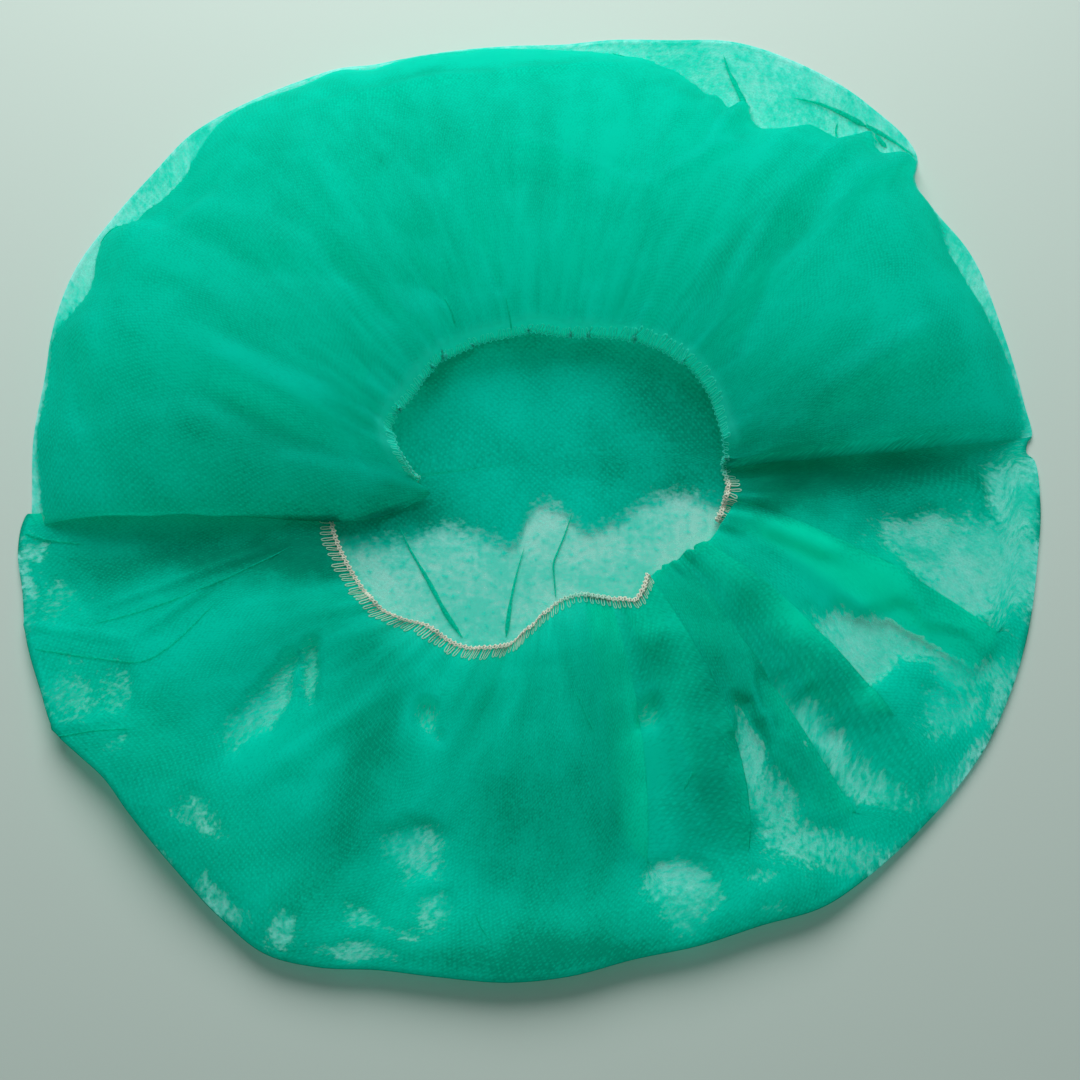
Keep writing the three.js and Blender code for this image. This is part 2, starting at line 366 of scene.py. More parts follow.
# How many columns of the mesh stand between these directions
columnTable = [
    (8.0, 178.0, 250), (178.0, 200.0, 44), (200.0, 262.0, 88), (262.0, 368.0, 256),
]

# Rim: direction in the cloth, direction on the table where that differs, radius as a share of the ellipse
rimTable = [
    (0, 0.6, 0.993), (3, 1.8, 0.978), (5.5, 3.0, 0.983), (8, 3.8, 0.994), (13, 8, 0.992), (20, 17, 0.999),
    (29, 28, 1.02), (34, 1.016), (38, 38.4, 1.03), (41, 40.2, 1.07), (49, 1.098), (58, 1.098),
    (66, 1.082), (73, 1.04), (80, 1.012), (86, 0.988), (93, 0.983), (101, 0.985), (107, 0.99),
    (111, 0.997), (114, 1.012), (120, 1.024), (127, 1.038), (134, 1.05), (141, 1.038), (148, 1.036),
    (155, 156, 1.037), (160, 162.5, 1.022), (165, 169, 1.0), (171, 177, 0.993), (175, 183, 0.985),
    (178, 187, 0.986), (181, 185.5, 0.992), (184, 187, 1.005), (187, 189.5, 1.013), (193, 194.5, 1.014),
    (200, 1.026), (206, 1.031), (211, 1.037), (214.5, 1.02), (218, 1.006), (223, 1.01),
    (230, 1.023), (237, 1.046), (243, 1.062), (248, 1.046), (254, 1.016), (260, 1.005), (268, 1.001),
    (274, 0.992), (281, 0.977), (288, 0.982), (295, 0.989), (302, 1.013), (308, 1.015), (315, 1.016),
    (322, 1.019), (327, 1.02), (333, 1.015), (340, 1.008), (349, 0.998), (356, 0.998),
]

# Opening: direction in the cloth, x and y of its edge, and how far the edge rolls under from 0 to 1
openingTable = [
    (0, 0.381, -0.045, 0), (4, 0.378, -0.029, 0), (8, 0.376, -0.01, 0.1), (14, 0.374, 0.018, 0.2),
    (20, 0.364, 0.052, 0.2), (26, 0.347, 0.106, 0.2), (33, 0.319, 0.15, 0.2), (42, 0.278, 0.183, 0.2),
    (50, 0.237, 0.208, 0.2), (60, 0.183, 0.224, 0.2), (70, 0.126, 0.231, 0.2), (80, 0.063, 0.234, 0.2),
    (90, 0.006, 0.233, 0.2), (100, -0.046, 0.228, 0.2), (110, -0.1, 0.215, 0.2),
    (120, -0.143, 0.194, 0.2), (130, -0.183, 0.164, 0.2), (139, -0.215, 0.127, 0.2),
    (147, -0.244, 0.088, 0.2), (154, -0.267, 0.062, 0.2), (160, -0.268, 0.03, 0.1),
    (165, -0.25, -0.008, 0.0), (169, -0.223, -0.043, 0.1), (172, -0.198, -0.068, 1),
    (174, -0.231, -0.086, 1), (176, -0.296, -0.115, 1), (178, -0.367, -0.127, 1),
    (180, -0.372, -0.096, 0.8), (182, -0.38, -0.081, 0.3), (184, -0.386, -0.098, 0),
    (186, -0.388, -0.125, 0), (189, -0.377, -0.164, 0), (193, -0.358, -0.205, 0),
    (198, -0.332, -0.249, 0), (204, -0.304, -0.286, 0), (210, -0.279, -0.31, 0), (216, -0.25, -0.323, 0),
    (222, -0.221, -0.329, 0), (228, -0.197, -0.338, 0), (234, -0.174, -0.353, 0),
    (240, -0.145, -0.371, 0), (247, -0.107, -0.381, 0), (254, -0.064, -0.377, 0),
    (260, -0.032, -0.361, 0), (266, 0.0, -0.334, 0), (272, 0.03, -0.304, 0), (278, 0.058, -0.285, 0),
    (284, 0.091, -0.278, 0), (290, 0.129, -0.28, 0), (296, 0.168, -0.286, 0.1), (301, 0.197, -0.288, 0.5),
    (304, 0.209, -0.27, 0.9), (308, 0.223, -0.243, 1), (313, 0.249, -0.223, 1), (318, 0.278, -0.211, 1),
    (323, 0.299, -0.197, 1), (328, 0.317, -0.18, 1), (333, 0.336, -0.166, 0.8), (339, 0.352, -0.139, 0.3),
    (345, 0.365, -0.11, 0), (351, 0.376, -0.076, 0),
]

# Height from the rim (0) to the opening (1), as shares of pillowRise and lowerRise
profileTable = [
    (0.0, 0.0, 0.0), (0.04, 0.17, 0.12), (0.1, 0.4, 0.22), (0.2, 0.68, 0.32), (0.32, 0.89, 0.4),
    (0.45, 1.0, 0.48), (0.6, 1.0, 0.58), (0.75, 0.91, 0.7), (0.88, 0.79, 0.8), (1.0, 0.66, 0.72),
]

# How high the pillow stands behind the front of its fold, by distance as a share of half the depth
frontTable = [
    (0.0, 0.26), (0.012, 0.38), (0.03, 0.48), (0.07, 0.6), (0.15, 0.74), (0.3, 0.9), (0.5, 1.0),
    (1.0, 1.0),
]

# By direction, how far in from the rim the two layers lie pressed together, as a share of the way to the
# opening
pressedTable = [
    (0, 0.04), (6, 0.03), (12, 0.005), (17, 0.008), (20, 0.02), (24, 0.04), (28, 0.055), (30, 0.045),
    (33, 0.008), (38, 0.004), (41, 0.006), (42.6, 0.03), (44, 0.085), (45.6, 0.09), (46.6, 0.055),
    (48, 0.12), (50.5, 0.155), (53, 0.15), (55.5, 0.2), (58, 0.205), (60, 0.19), (61.6, 0.15), (63, 0.2),
    (65.5, 0.18), (69, 0.125), (73, 0.08), (80, 0.04), (90, 0.015), (100, 0.003), (108, 0.003),
    (112, 0.012), (115, 0.004), (119, 0.014), (124, 0.014), (131, 0.016), (135, 0.045), (140, 0.072),
    (144, 0.058), (147, 0.045), (149.5, 0.012), (152.5, 0.036), (156, 0.062), (158, 0.04), (160.2, 0.008),
    (165, 0.005), (171, 0.004), (177, 0.02), (184, 0.03), (190, 0.03), (200, 0.03), (212, 0.04),
    (225, 0.02), (240, 0.02), (262, 0.005), (285, 0.01), (300, 0.02), (315, 0.04), (330, 0.05),
    (345, 0.05), (352, 0.05),
]

# Where the flat half's upper layer sinks onto the lower one: x, y, half length, half width, turn, strength
touchTable = [
    (0.88, -0.21, 0.135, 0.112, 0, 1.1), (0.77, -0.18, 0.125, 0.062, -24, 1.05),
    (0.95, -0.06, 0.05, 0.095, 0, 1.0), (0.625, -0.36, 0.08, 0.066, -35, 1.15),
    (0.69, -0.36, 0.09, 0.05, -15, 1.0), (0.8, -0.4, 0.12, 0.04, -22, 0.9),
    (0.79, -0.5, 0.085, 0.056, 30, 0.76), (0.47, -0.46, 0.075, 0.03, -48, 0.72),
    (0.55, -0.54, 0.11, 0.04, -38, 0.86), (0.63, -0.63, 0.09, 0.05, -35, 0.74),
    (0.75, -0.66, 0.07, 0.038, 40, 0.78), (0.55, -0.77, 0.15, 0.045, -14, 0.66),
    (0.41, -0.58, 0.032, 0.098, 8, 0.95), (0.43, -0.68, 0.05, 0.075, 12, 0.72),
    (0.48, -0.73, 0.085, 0.034, -5, 0.72), (0.41, -0.8, 0.033, 0.024, 0, 0.58),
    (0.41, -0.87, 0.033, 0.014, 10, 0.55), (0.27, -0.84, 0.064, 0.044, 14, 0.95),
    (0.21, -0.5, 0.03, 0.03, 0, 0.5), (-0.23, -0.77, 0.07, 0.048, -12, 0.8),
    (-0.18, -0.86, 0.038, 0.035, -30, 0.68), (-0.21, -0.91, 0.036, 0.02, 0, 0.56),
    (-0.26, -0.96, 0.032, 0.014, -5, 0.58), (-0.17, -0.52, 0.024, 0.045, 0, 0.56),
    (-0.51, -0.49, 0.1, 0.034, 46, 0.82), (-0.4, -0.43, 0.023, 0.06, 8, 0.7),
    (-0.61, -0.69, 0.055, 0.026, -35, 0.6), (-0.7, -0.76, 0.143, 0.02, -49, 0.6),
    (-0.57, -0.86, 0.062, 0.026, -50, 0.72), (-0.445, -0.915, 0.048, 0.036, 0, 0.76),
    (-0.32, -0.95, 0.06, 0.022, -8, 0.68), (-0.29, -0.885, 0.05, 0.022, -25, 0.66),
    (-0.97, -0.26, 0.028, 0.118, 3, 0.72), (-0.9, -0.28, 0.042, 0.069, 0, 0.52),
    (-0.88, -0.47, 0.068, 0.06, -30, 0.64), (-0.79, -0.46, 0.041, 0.063, 0, 0.52),
    (-0.76, -0.57, 0.03, 0.017, 0, 0.55), (-0.94, -0.18, 0.023, 0.029, 0, 0.7),
    (0.9, -0.46, 0.03, 0.122, -14, 0.72), (0.81, -0.63, 0.115, 0.024, 56, 0.72),
    (0.68, -0.76, 0.095, 0.022, 38, 0.62),
]

# Darker (above 0) and lighter (below 0) parts of the cloth. Some are denser or thinner cloth; many are
# painted shade, under the front of the pillow's fold and the beak, on the pillow's front slopes and towards
# the bottom rim, and some are painted light on parts of the pillow and the flat half: x, y, half length, half
# width, turn, strength
densityAndShadeTable = [
    (-0.315, -0.6, 0.25, 0.05, 72, 0.56), (-0.32, -0.57, 0.045, 0.05, 0, 0.26),
    (-0.41, -0.86, 0.09, 0.045, 50, 0.24), (-0.56, -0.68, 0.16, 0.1, -40, 0.22),
    (0.05, 0.36, 0.16, 0.1, 0, -0.22), (0.62, 0.24, 0.14, 0.1, 20, -0.16),
    (-0.01, -0.7, 0.12, 0.22, 0, 0.47), (-0.065, -0.7, 0.06, 0.05, 0, 0.24),
    (0.13, -0.74, 0.045, 0.19, 4, 0.26), (0.09, -0.955, 0.17, 0.038, 5, 0.72),
    (-0.15, -0.97, 0.16, 0.026, -8, 0.4), (0.4, -0.9, 0.11, 0.03, 22, 0.4),
    (-0.44, -0.95, 0.11, 0.026, -26, 0.3), (0.03, -0.42, 0.13, 0.06, 10, 0.22),
    (0.235, -0.4, 0.025, 0.055, 0, 0.45), (0.215, -0.62, 0.045, 0.18, 0, -0.4),
    (0.315, -0.66, 0.19, 0.048, 86, 0.36), (0.34, -0.44, 0.05, 0.05, -50, 0.2),
    (0.47, -0.56, 0.12, 0.03, -50, 0.22), (0.42, -0.36, 0.09, 0.04, -42, 0.16),
    (0.58, -0.46, 0.17, 0.028, -42, 0.24), (0.72, -0.6, 0.1, 0.026, -48, 0.16),
    (0.52, -0.33, 0.06, 0.028, -45, -0.4), (0.62, -0.28, 0.16, 0.05, -30, -0.62),
    (0.54, -0.19, 0.15, 0.036, -26, -0.55), (0.42, -0.24, 0.06, 0.06, 0, 0.1),
    (-0.18, -0.5, 0.045, 0.09, 0, -0.34), (-0.49, -0.54, 0.1, 0.13, 30, -0.36),
    (-0.44, -0.36, 0.171, 0.045, 32, 0.34), (-0.66, -0.52, 0.15, 0.05, 42, 0.22),
    (-0.62, -0.34, 0.12, 0.036, 30, -0.18), (-0.3, -0.4, 0.06, 0.05, 40, 0.28),
    (-0.7, -0.72, 0.15, 0.028, -49, 0.22), (0.66, -0.02, 0.32, 0.05, 3, 0.8),
    (0.48, -0.05, 0.12, 0.05, 3, 0.5), (-0.62, -0.19, 0.3, 0.036, 2, 0.8),
    (-0.34, -0.15, 0.16, 0.06, 8, 0.84), (0.9, -0.3, 0.05, 0.14, 0, -0.1),
    (0.8, -0.12, 0.14, 0.04, 0, 0.16), (0.34, 0.62, 0.14, 0.1, 10, -0.3),
    (-0.1, 0.9, 0.34, 0.045, 0, -0.5), (-0.7, 0.2, 0.12, 0.2, 0, -0.1), (0.6, 0.12, 0.2, 0.06, 8, 0.34),
    (-0.55, 0.0, 0.24, 0.06, 8, 0.34), (0.5, 0.0, 0.11, 0.1, 30, 0.3), (0.5, 0.46, 0.034, 0.15, -40, 0.3),
    (0.38, 0.34, 0.026, 0.11, -22, 0.26), (-0.58, 0.24, 0.15, 0.04, -30, 0.22),
    (-0.2, 0.62, 0.2, 0.09, 0, 0.18), (-0.3, 0.56, 0.024, 0.02, 0, 0.34), (0.7, 0.5, 0.1, 0.12, 0, -0.14),
    (0.12, 0.6, 0.12, 0.06, -24, -0.24), (0.02, 0.52, 0.15, 0.03, -20, 0.18),
    (-0.46, 0.08, 0.17, 0.034, -32, -0.4), (-0.09, 0.82, 0.26, 0.011, 11, 0.24),
    (-0.1, 0.865, 0.28, 0.03, 11, -0.24), (0.86, 0.2, 0.03, 0.18, 20, -0.24),
    (-0.5, 0.5, 0.03, 0.14, 10, 0.2), (-0.32, 0.34, 0.09, 0.022, -52, 0.24),
]

# The same for the layer on the table, seen through the opening: painted shade under the beak and under the
# top of the opening, and painted light on the pale part in front
insideTable = [
    (0.05, -0.24, 0.34, 0.09, 5, -0.6), (0.28, -0.14, 0.12, 0.06, 20, -0.6),
    (0.33, 0.06, 0.11, 0.2, 0, 0.62), (0.2, 0.16, 0.12, 0.06, -30, 0.24),
    (-0.2, 0.2, 0.13, 0.036, 42, 0.95), (-0.08, 0.25, 0.09, 0.022, 14, 0.7),
    (-0.15, 0.16, 0.11, 0.02, 40, -0.2), (0.05, 0.24, 0.2, 0.03, 0, 0.34),
    (-0.24, -0.11, 0.12, 0.06, 0, 0.85), (0.03, 0.012, 0.13, 0.03, -4, 0.3),
    (0.03, -0.05, 0.12, 0.03, 0, -0.16), (-0.02, 0.09, 0.11, 0.05, 0, -0.12),
    (0.14, 0.04, 0.03, 0.16, 8, 0.2), (0.22, -0.06, 0.08, 0.05, 0, 0.26),
]

# Narrow folds pressed into the cloth: half width in metres, then the x and y of points along them
pinchTable = [
    (0.0002, 0.0008, (-0.262, -0.12), (-0.241, -0.167), (-0.198, -0.241), (-0.168, -0.3), (-0.133, -0.352)),
    (0.0001, 0.0007, (-0.015, -0.165), (-0.03, -0.22), (-0.042, -0.28), (-0.05, -0.35)),
    (0.0002, 0.0003, (0.078, -0.098), (0.06, -0.15), (0.04, -0.2), (0.046, -0.274)),
    (0.0001, 0.0003, (-0.842, -0.33), (-0.75, -0.304), (-0.628, -0.259), (-0.463, -0.175)),
    (0.0003, 0.0002, (-0.958, -0.376), (-0.848, -0.394), (-0.733, -0.408), (-0.68, -0.37), (-0.602, -0.286)),
    (0.0003, 0.0001, (-0.882, -0.554), (-0.817, -0.542), (-0.745, -0.536)),
    (0.0006, 0.0002, (-0.99, -0.14), (-0.943, -0.155), (-0.868, -0.167)),
    (0.0002, 0.0012, (0.409, 0.96), (0.418, 0.92), (0.432, 0.885), (0.453, 0.83)),
    (0.0002, 0.0011, (0.55, 0.853), (0.61, 0.838), (0.66, 0.812), (0.707, 0.78)),
    (0.0011, 0.0002, (0.7, 0.785), (0.735, 0.765), (0.77, 0.738), (0.805, 0.705)),
    (0.0003, 0.001, (0.705, 0.79), (0.722, 0.762), (0.745, 0.73)),
    (0.0002, 0.0004, (0.169, 0.965), (0.182, 0.943), (0.194, 0.923)),
    (0.0002, 0.0004, (0.645, 0.79), (0.64, 0.77), (0.642, 0.752)),
    (0.0004, 0.0003, (-0.89, 0.495), (-0.854, 0.521), (-0.81, 0.535)),
    (0.0002, 0.0002, (-0.101, -0.881), (-0.09, -0.905), (-0.075, -0.926)),
    (0.0002, 0.0003, (0.083, -0.467), (0.098, -0.505), (0.114, -0.542)),
    (0.0003, 0.0003, (0.28, -0.653), (0.288, -0.634), (0.297, -0.619)),
    (0.0002, 0.0004, (-0.171, 0.3), (-0.156, 0.27), (-0.146, 0.24)),
    (0.0002, 0.0004, (-0.052, 0.3), (-0.044, 0.265), (-0.04, 0.24)),
]

# Pleats of three layers: the sharp edge's direction at the rim, half way and at the opening, which side the
# layers lie on, their width in degrees at the same three places, where the pleat starts, over what length it
# opens, and its height as a share
pleatTable = [
    (283.6, 288.3, 293.0, 1, 4, 6, 8, 0.10, 0.30, 0.9),
    (294.0, 304.0, 309.0, 1, 3, 9, 14, 0.04, 0.35, 1.0),
    (312.5, 314.2, 320.0, 1, 3, 7, 10, 0.04, 0.20, 1.0),
    (321.7, 327.0, 333.0, 1, 4, 9, 10, 0.10, 0.35, 1.0),
    (340.5, 344.7, 351.0, 1, 5, 9, 8, 0.05, 0.08, 1.2),
]

# Thin ridges that stand between two points of the flat half: x, y, x, y, half width, height in metres
ridgeTable = [
    (-0.97, -0.33, -0.76, -0.36, 0.012, 0.0016),
    (-0.76, -0.36, -0.60, -0.24, 0.012, 0.0016),
    (-0.90, -0.54, -0.76, -0.51, 0.012, 0.0018),
    (-0.84, -0.30, -0.46, -0.16, 0.012, 0.0012),
    (-0.52, -0.64, -0.20, -0.42, 0.030, 0.0020),
    (-0.08, -0.86, -0.04, -0.42, 0.030, 0.0022),
    (0.06, -0.84, 0.04, -0.44, 0.035, 0.0020),
    (0.62, -0.20, 0.42, -0.12, 0.030, 0.0018),
    (0.30, -0.80, 0.27, -0.46, 0.030, 0.0018),
]

# Soft folds on the pillow between two points: x, y, x, y, half width, height in metres, below 0 for a hollow
foldTable = [
    (-0.64, 0.17, -0.34, 0.03, 0.06, 0.0042), (-0.62, 0.1, -0.4, -0.02, 0.05, -0.0026),
    (0.38, 0.18, 0.46, 0.34, 0.036, -0.0034), (0.46, 0.34, 0.6, 0.58, 0.06, -0.0036),
    (0.34, 0.22, 0.5, 0.52, 0.036, 0.0026), (-0.42, 0.4, -0.23, 0.2, 0.036, -0.0026),
    (-0.24, 0.38, -0.15, 0.26, 0.022, -0.002), (-0.11, 0.44, -0.05, 0.27, 0.022, -0.002),
    (0.12, 0.28, 0.06, 0.54, 0.045, -0.0024), (0.2, 0.26, 0.22, 0.62, 0.045, 0.0024),
    (-0.9, 0.24, -0.86, 0.02, 0.04, -0.0022), (0.9, 0.14, 0.6, 0.1, 0.06, -0.0026),
    (0.52, 0.06, 0.8, 0.26, 0.05, 0.003), (-0.7, 0.52, -0.44, 0.34, 0.06, 0.0028),
    (-0.3, 0.76, -0.18, 0.46, 0.06, -0.0026), (0.3, 0.8, 0.26, 0.56, 0.05, 0.0026),
    (-0.5, 0.72, -0.1, 0.8, 0.026, 0.0022), (-0.1, 0.8, 0.2, 0.86, 0.026, 0.002),
    (-0.06, 0.62, 0.22, 0.5, 0.026, 0.002), (0.22, 0.5, 0.44, 0.66, 0.026, 0.0018),
    (-0.46, 0.66, -0.36, 0.42, 0.04, 0.0024), (-0.82, 0.4, -0.6, 0.6, 0.05, -0.0022),
]

# The line where the lower layer leaves the table inside the opening: x share, y share
archTable = [
    (-1.0, -0.13), (-0.45, -0.15), (-0.34, -0.185), (-0.24, -0.175), (-0.17, -0.15), (-0.08, -0.175),
    (-0.03, -0.185), (-0.005, -0.125), (0.05, -0.115), (0.1, -0.16), (0.16, -0.145), (0.22, -0.1),
    (0.3, -0.085), (0.37, -0.11), (0.6, -0.06), (1.0, 0.02),
]

# The front of the pillow's fold: x share, y share
frontLine = [(-1.0, -0.142), (-0.37, -0.127), (-0.2, -0.08), (0.37, -0.03), (1.0, 0.045)]

# How far the rim stands off the table, by direction, in metres
rimLiftTable = [
    (0, 0.0005), (40, 0.0), (90, 0.0), (150, 0.0), (190, 0.001), (208, 0.005), (216, 0.009), (228, 0.01),
    (240, 0.007), (256, 0.008), (280, 0.008), (300, 0.007), (312, 0.003), (335, 0.001),
]


def easeSpan(name, turn):
    start, fullStart, fullEnd, end = spans[name]
    return smoothStep(start, fullStart, turn) * (1 - smoothStep(fullEnd, end, turn))


def pleatLead(row, along):
    # the sharp edge's placed direction at one share of the way from rim to opening
    first, middle, last = row[0] - row[3] * form["pleatHalf"], row[1], row[2]
    return (first * (2 * along ** 2 - 3 * along + 1) + middle * (4 * along - 4 * along ** 2)
            + last * (2 * along ** 2 - along))


def pleatMap(along):
    # where the pleats' fold lines lie at one row, as pairs of column direction and placed direction
    half = form["pleatHalf"]
    pairs = [(turn, turn) for turn in fixedTurns]
    for row in pleatTable:
        rimEdge, side, start, length = row[0], row[3], row[7], row[8]
        wide = np.interp(along, [0.0, 0.5, 1.0], row[4:7])
        opened = smoothStep(start, start + length, along)
        width = -2 * half + (2 * half + wide) * opened
        lead = pleatLead(row, along)
        if side > 0:
            pairs.append((rimEdge - half, lead))
            pairs.append((rimEdge + half, lead - width))
        else:
            pairs.append((rimEdge - half, lead + width))
            pairs.append((rimEdge + half, lead))
    return sorted(pairs)


def foldedTurn(turn, along):
    # where each column lies, back and forth over the pleats, how high, and how far a pleat covers it
    placed, level, covered = turn.copy(), np.zeros_like(turn), np.zeros_like(turn)
    half, eases = form["pleatHalf"], form["pleatEases"]
    bendShare, edgeLow = form["bendShare"], form["edgeLow"]
    for index in range(len(turn)):
        pairs = pleatMap(along[index, 0])
        columns = turn[index]
        placed[index] = np.interp(columns, [pair[0] for pair in pairs], [pair[1] for pair in pairs])
        places = dict(pairs)
        for row in pleatTable:
            rimEdge, side, rise = row[0], row[3], row[9]
            near, far = rimEdge - half, rimEdge + half
            width = places[near] - places[far]
            if width <= 0.0:
                continue
            top, hidden = (near, far) if side > 0 else (far, near)
            opened = smoothStep(0.0, form["pleatOpens"], width)
            beyond = (placed[index] - places[hidden]) * side
            over = smoothStep(-eases, 0.0, beyond) * opened
            onTop = ((columns - top) * side <= 0) & (np.abs(columns - rimEdge) < form["pleatReach"])
            inMiddle = (columns >= near) & (columns <= far)
            share = np.clip((columns - near) / (2 * half), 0, 1)
            share = share if side > 0 else 1 - share
            bend = (2 - smoothStep(0.0, bendShare, share) - smoothStep(1 - bendShare, 1.0, share)) * opened
            level[index] += np.where(inMiddle, bend, np.where(onTop, 2 * over, 0.0)) * rise
            edgeAway = (places[top] - placed[index]) * side
            edgeRise = edgeLow + (1 - edgeLow) * smoothStep(0.0, form["edgeEases"], edgeAway)
            level[index] *= np.where(inMiddle | onTop, edgeRise, 1.0)
            inside = smoothStep(0.0, form["pleatHides"], beyond) * opened
            covered[index] = np.maximum(covered[index], np.where(inMiddle | onTop, inside, 0.0))
    return placed, level, covered


def linePlace(x, y, row, endShare=0.25):
    # how close points are to a short line, 1 on it and 0 past its half width, lower towards its two ends
    startX, startY, endX, endY, half = row[:5]
    stepX, stepY = endX - startX, endY - startY
    share = np.clip(((x - startX) * stepX + (y - startY) * stepY) / (stepX ** 2 + stepY ** 2), 0, 1)
    away = np.hypot(x - startX - share * stepX, y - startY - share * stepY)
    ending = smoothStep(0.0, endShare, share) * (1 - smoothStep(1 - endShare, 1.0, share))
    return (1 - smoothStep(0.0, 1.0, away / half)) * (endShare + (1 - endShare) * ending)


def ovalShares(x, y, rows, warp):
    # how far out each point lies in each of a table's ovals, whose outlines waver
    warpX = x + warp * sumNoise(x, y, ovalWavesX)
    warpY = y + warp * sumNoise(x, y, ovalWavesY)
    for midX, midY, long, wide, turn, strength in rows:
        cos, sin = math.cos(math.radians(turn)), math.sin(math.radians(turn))
        alongX = ((warpX - midX) * cos + (warpY - midY) * sin) / long
        alongY = (-(warpX - midX) * sin + (warpY - midY) * cos) / wide
        yield strength, np.hypot(alongX, alongY)


def touchPlace(x, y, core=0.35, end=1.5):
    # the strongest oval at each point, full in its core and nothing past its end
    total = np.zeros_like(x)
    for strength, out in ovalShares(x, y, touchTable, form["touchWaver"]):
        total = np.maximum(total, strength * (1 - smoothStep(core, end, out)))
    return total


def shadePlace(x, y, rows):
    # the sum of the ovals, each fading softly
    total = np.zeros_like(x)
    for strength, out in ovalShares(x, y, rows, form["shadeWaver"]):
        total = total + strength * np.exp(-form["shadeFade"] * out ** 2)
    return total


def archHeight(x, y, turn, share):
    # the lower layer stands off the table under the pillow
    shareX, shareY = x / halfWidth, y / halfDepth
    waver = softNoise(shareX, shareY, form["archCell"], form["archSeed"])
    behind = shareY - (readTable(archTable, 1, shareX) + form["archWaver"] * waver)
    rise = sum(smoothStep(0.0, reach, behind) * amount for reach, amount in form["archSlopes"])
    start, end, shortened = form["archEnds"]
    rimwards = 1 - smoothStep(start, end - shortened * readAround(pressedTable, 1, turn), share)
    return form["archRise"] * rise * rimwards


def rimPoint(turn):
    # the rim as seen from above
    direction = np.radians(turn + readAround([(row[0], row[-2] - row[0]) for row in rimTable], 1, turn))
    ellipse = 1 / np.hypot(np.cos(direction) / halfWidth, np.sin(direction) / halfDepth)
    radius = readAround(rimTable, -1, turn) * ellipse
    return radius * np.cos(direction), radius * np.sin(direction)


def rimLift(turn, share):
    # how far the rim stands off the table, falling off towards the middle
    start, power = form["rimRise"]
    return readAround(rimLiftTable, 1, turn) * smoothStep(start, 1.0, share) ** power


def openingPoint(turn):
    # the edge, with small scallops where it rolls under in front at the right
    wrapped = np.mod(turn, fullTurn)
    scalloped = easeSpan("scallops", wrapped)
    waver = np.abs(np.sin(np.pi * (wrapped + 1.5 * np.sin(wrapped)) / form["scallopSpan"]))
    spread = 1 - scalloped * waver * form["scallopDepth"]
    x = readAround(openingTable, 1, turn) * halfWidth * spread
    y = readAround(openingTable, 2, turn) * halfDepth * spread
    return x, y


def frontDistance(x, y):
    # how far a point lies behind the front of the pillow's fold, as a share of half the depth
    return np.maximum(y / halfDepth - np.interp(x / halfWidth, *zip(*frontLine)), 0.0)


def lowerLayer(turn, share):
    # the layer on the table, from its middle (0) to the rim (1)
    rimX, rimY = rimPoint(turn)
    x, y = rimX * share, rimY * share
    arch = archHeight(x, y, turn, share)
    wrinkle = sumNoise(x, y, wrinkleWaves) * form["crumpleRise"]
    loose = np.clip(arch / form["archRise"] * 2.0, 0, 1)
    lift = rimLift(turn, share)
    floorGap = form["floorGap"]
    height = floorGap + arch + lift + np.maximum(wrinkle, -form["deepestWrinkle"]) * loose
    touch = 1 - np.clip((arch + lift * 0.25) / form["lowerClear"], 0, 1)
    return np.stack([x, y, np.maximum(height, floorGap)], axis=-1), touch


def upperLayer(turn, along):
    # the layer that comes back from the rim (0) to the opening (1)
    placed, level, covered = foldedTurn(turn, along)
    rimX, rimY = rimPoint(placed)
    openX, openY = openingPoint(placed)
    x = rimX + (openX - rimX) * along
    y = rimY + (openY - rimY) * along
    shareX, shareY = x / halfWidth, y / halfDepth
    upperSide = easeSpan("pillow", turn)
    around = placed * 0.01
    waver = sumNoise(around, around * 0, aroundWaves)
    pressed = readAround(pressedTable, 1, placed) * (1 + form["pressedWaver"] * waver)
    pressed = np.clip(pressed, 0.0, 0.9)
    inward = np.clip((along - pressed) / (1 - pressed), 0, 1)
    pillow = readTable(profileTable, 1, inward) * readTable(frontTable, 1, frontDistance(x, y))
    pillow = pillow * form["pillowRise"]
    touch = touchPlace(shareX, shareY)
    # darker and lighter cloth from the ovals, with painted shade and painted light among them
    densityAndPaintedShade = shadePlace(shareX, shareY, densityAndShadeTable)
    sunk = 1 - form["sinkShare"] * smoothStep(0.0, form["sinkFull"], touch)
    lower = readTable(profileTable, 2, inward) * form["lowerRise"] * sunk
    ridge = np.zeros_like(x)
    for row in ridgeTable:
        ridge = np.maximum(ridge, linePlace(shareX, shareY, row) * row[5])
    fold = sum(linePlace(shareX, shareY, row) * row[5] for row in foldTable)
    fold = fold * np.clip(pillow / form["foldFull"], 0, 1)
    base = (pillow + fold) * upperSide + (lower + ridge) * (1 - upperSide)
    free = np.clip(base / form["looseFull"], 0, 1)
    gather = gatherHeight(placed, along, x, y) * free
    crumple = crumpleHeight(x, y, upperSide) * free
    share = np.clip(np.hypot(x, y) / np.hypot(rimX, rimY), 0, 1)
    under = archHeight(x, y, placed, share) * smoothStep(0.0, 0.05, along)
    height = form["floorGap"] + form["layerGap"] + rimLift(placed, share)
    height = height + np.maximum(base + gather + crumple, under) + level * form["pleatStep"]
    pressedFlat = 1 - np.clip((pillow + under * 0.5) / form["pillowClear"], 0, 1)
    contact = pressedFlat * upperSide + touch * (1 - covered) * (1 - upperSide)
    return np.stack([x, y, height], axis=-1), contact, densityAndPaintedShade


def gatherHeight(turn, along, x, y):
    # radial gathers that are fine and deep by the elastic and join into fewer, softer ones further out
    drift = 0.012 * softNoise(x, y, 0.03, 11)
    seam = easeSpan("gathers", turn)
    total = np.zeros_like(turn)
    for cell, start, amount in gatherWaves:
        wave = softNoise(turn * 0.01 + drift, along * 0.035, cell, int(cell * 1000))
        total = total + wave * amount * smoothStep(start, 1.0, along)
    return total * seam * form["gatherRise"]


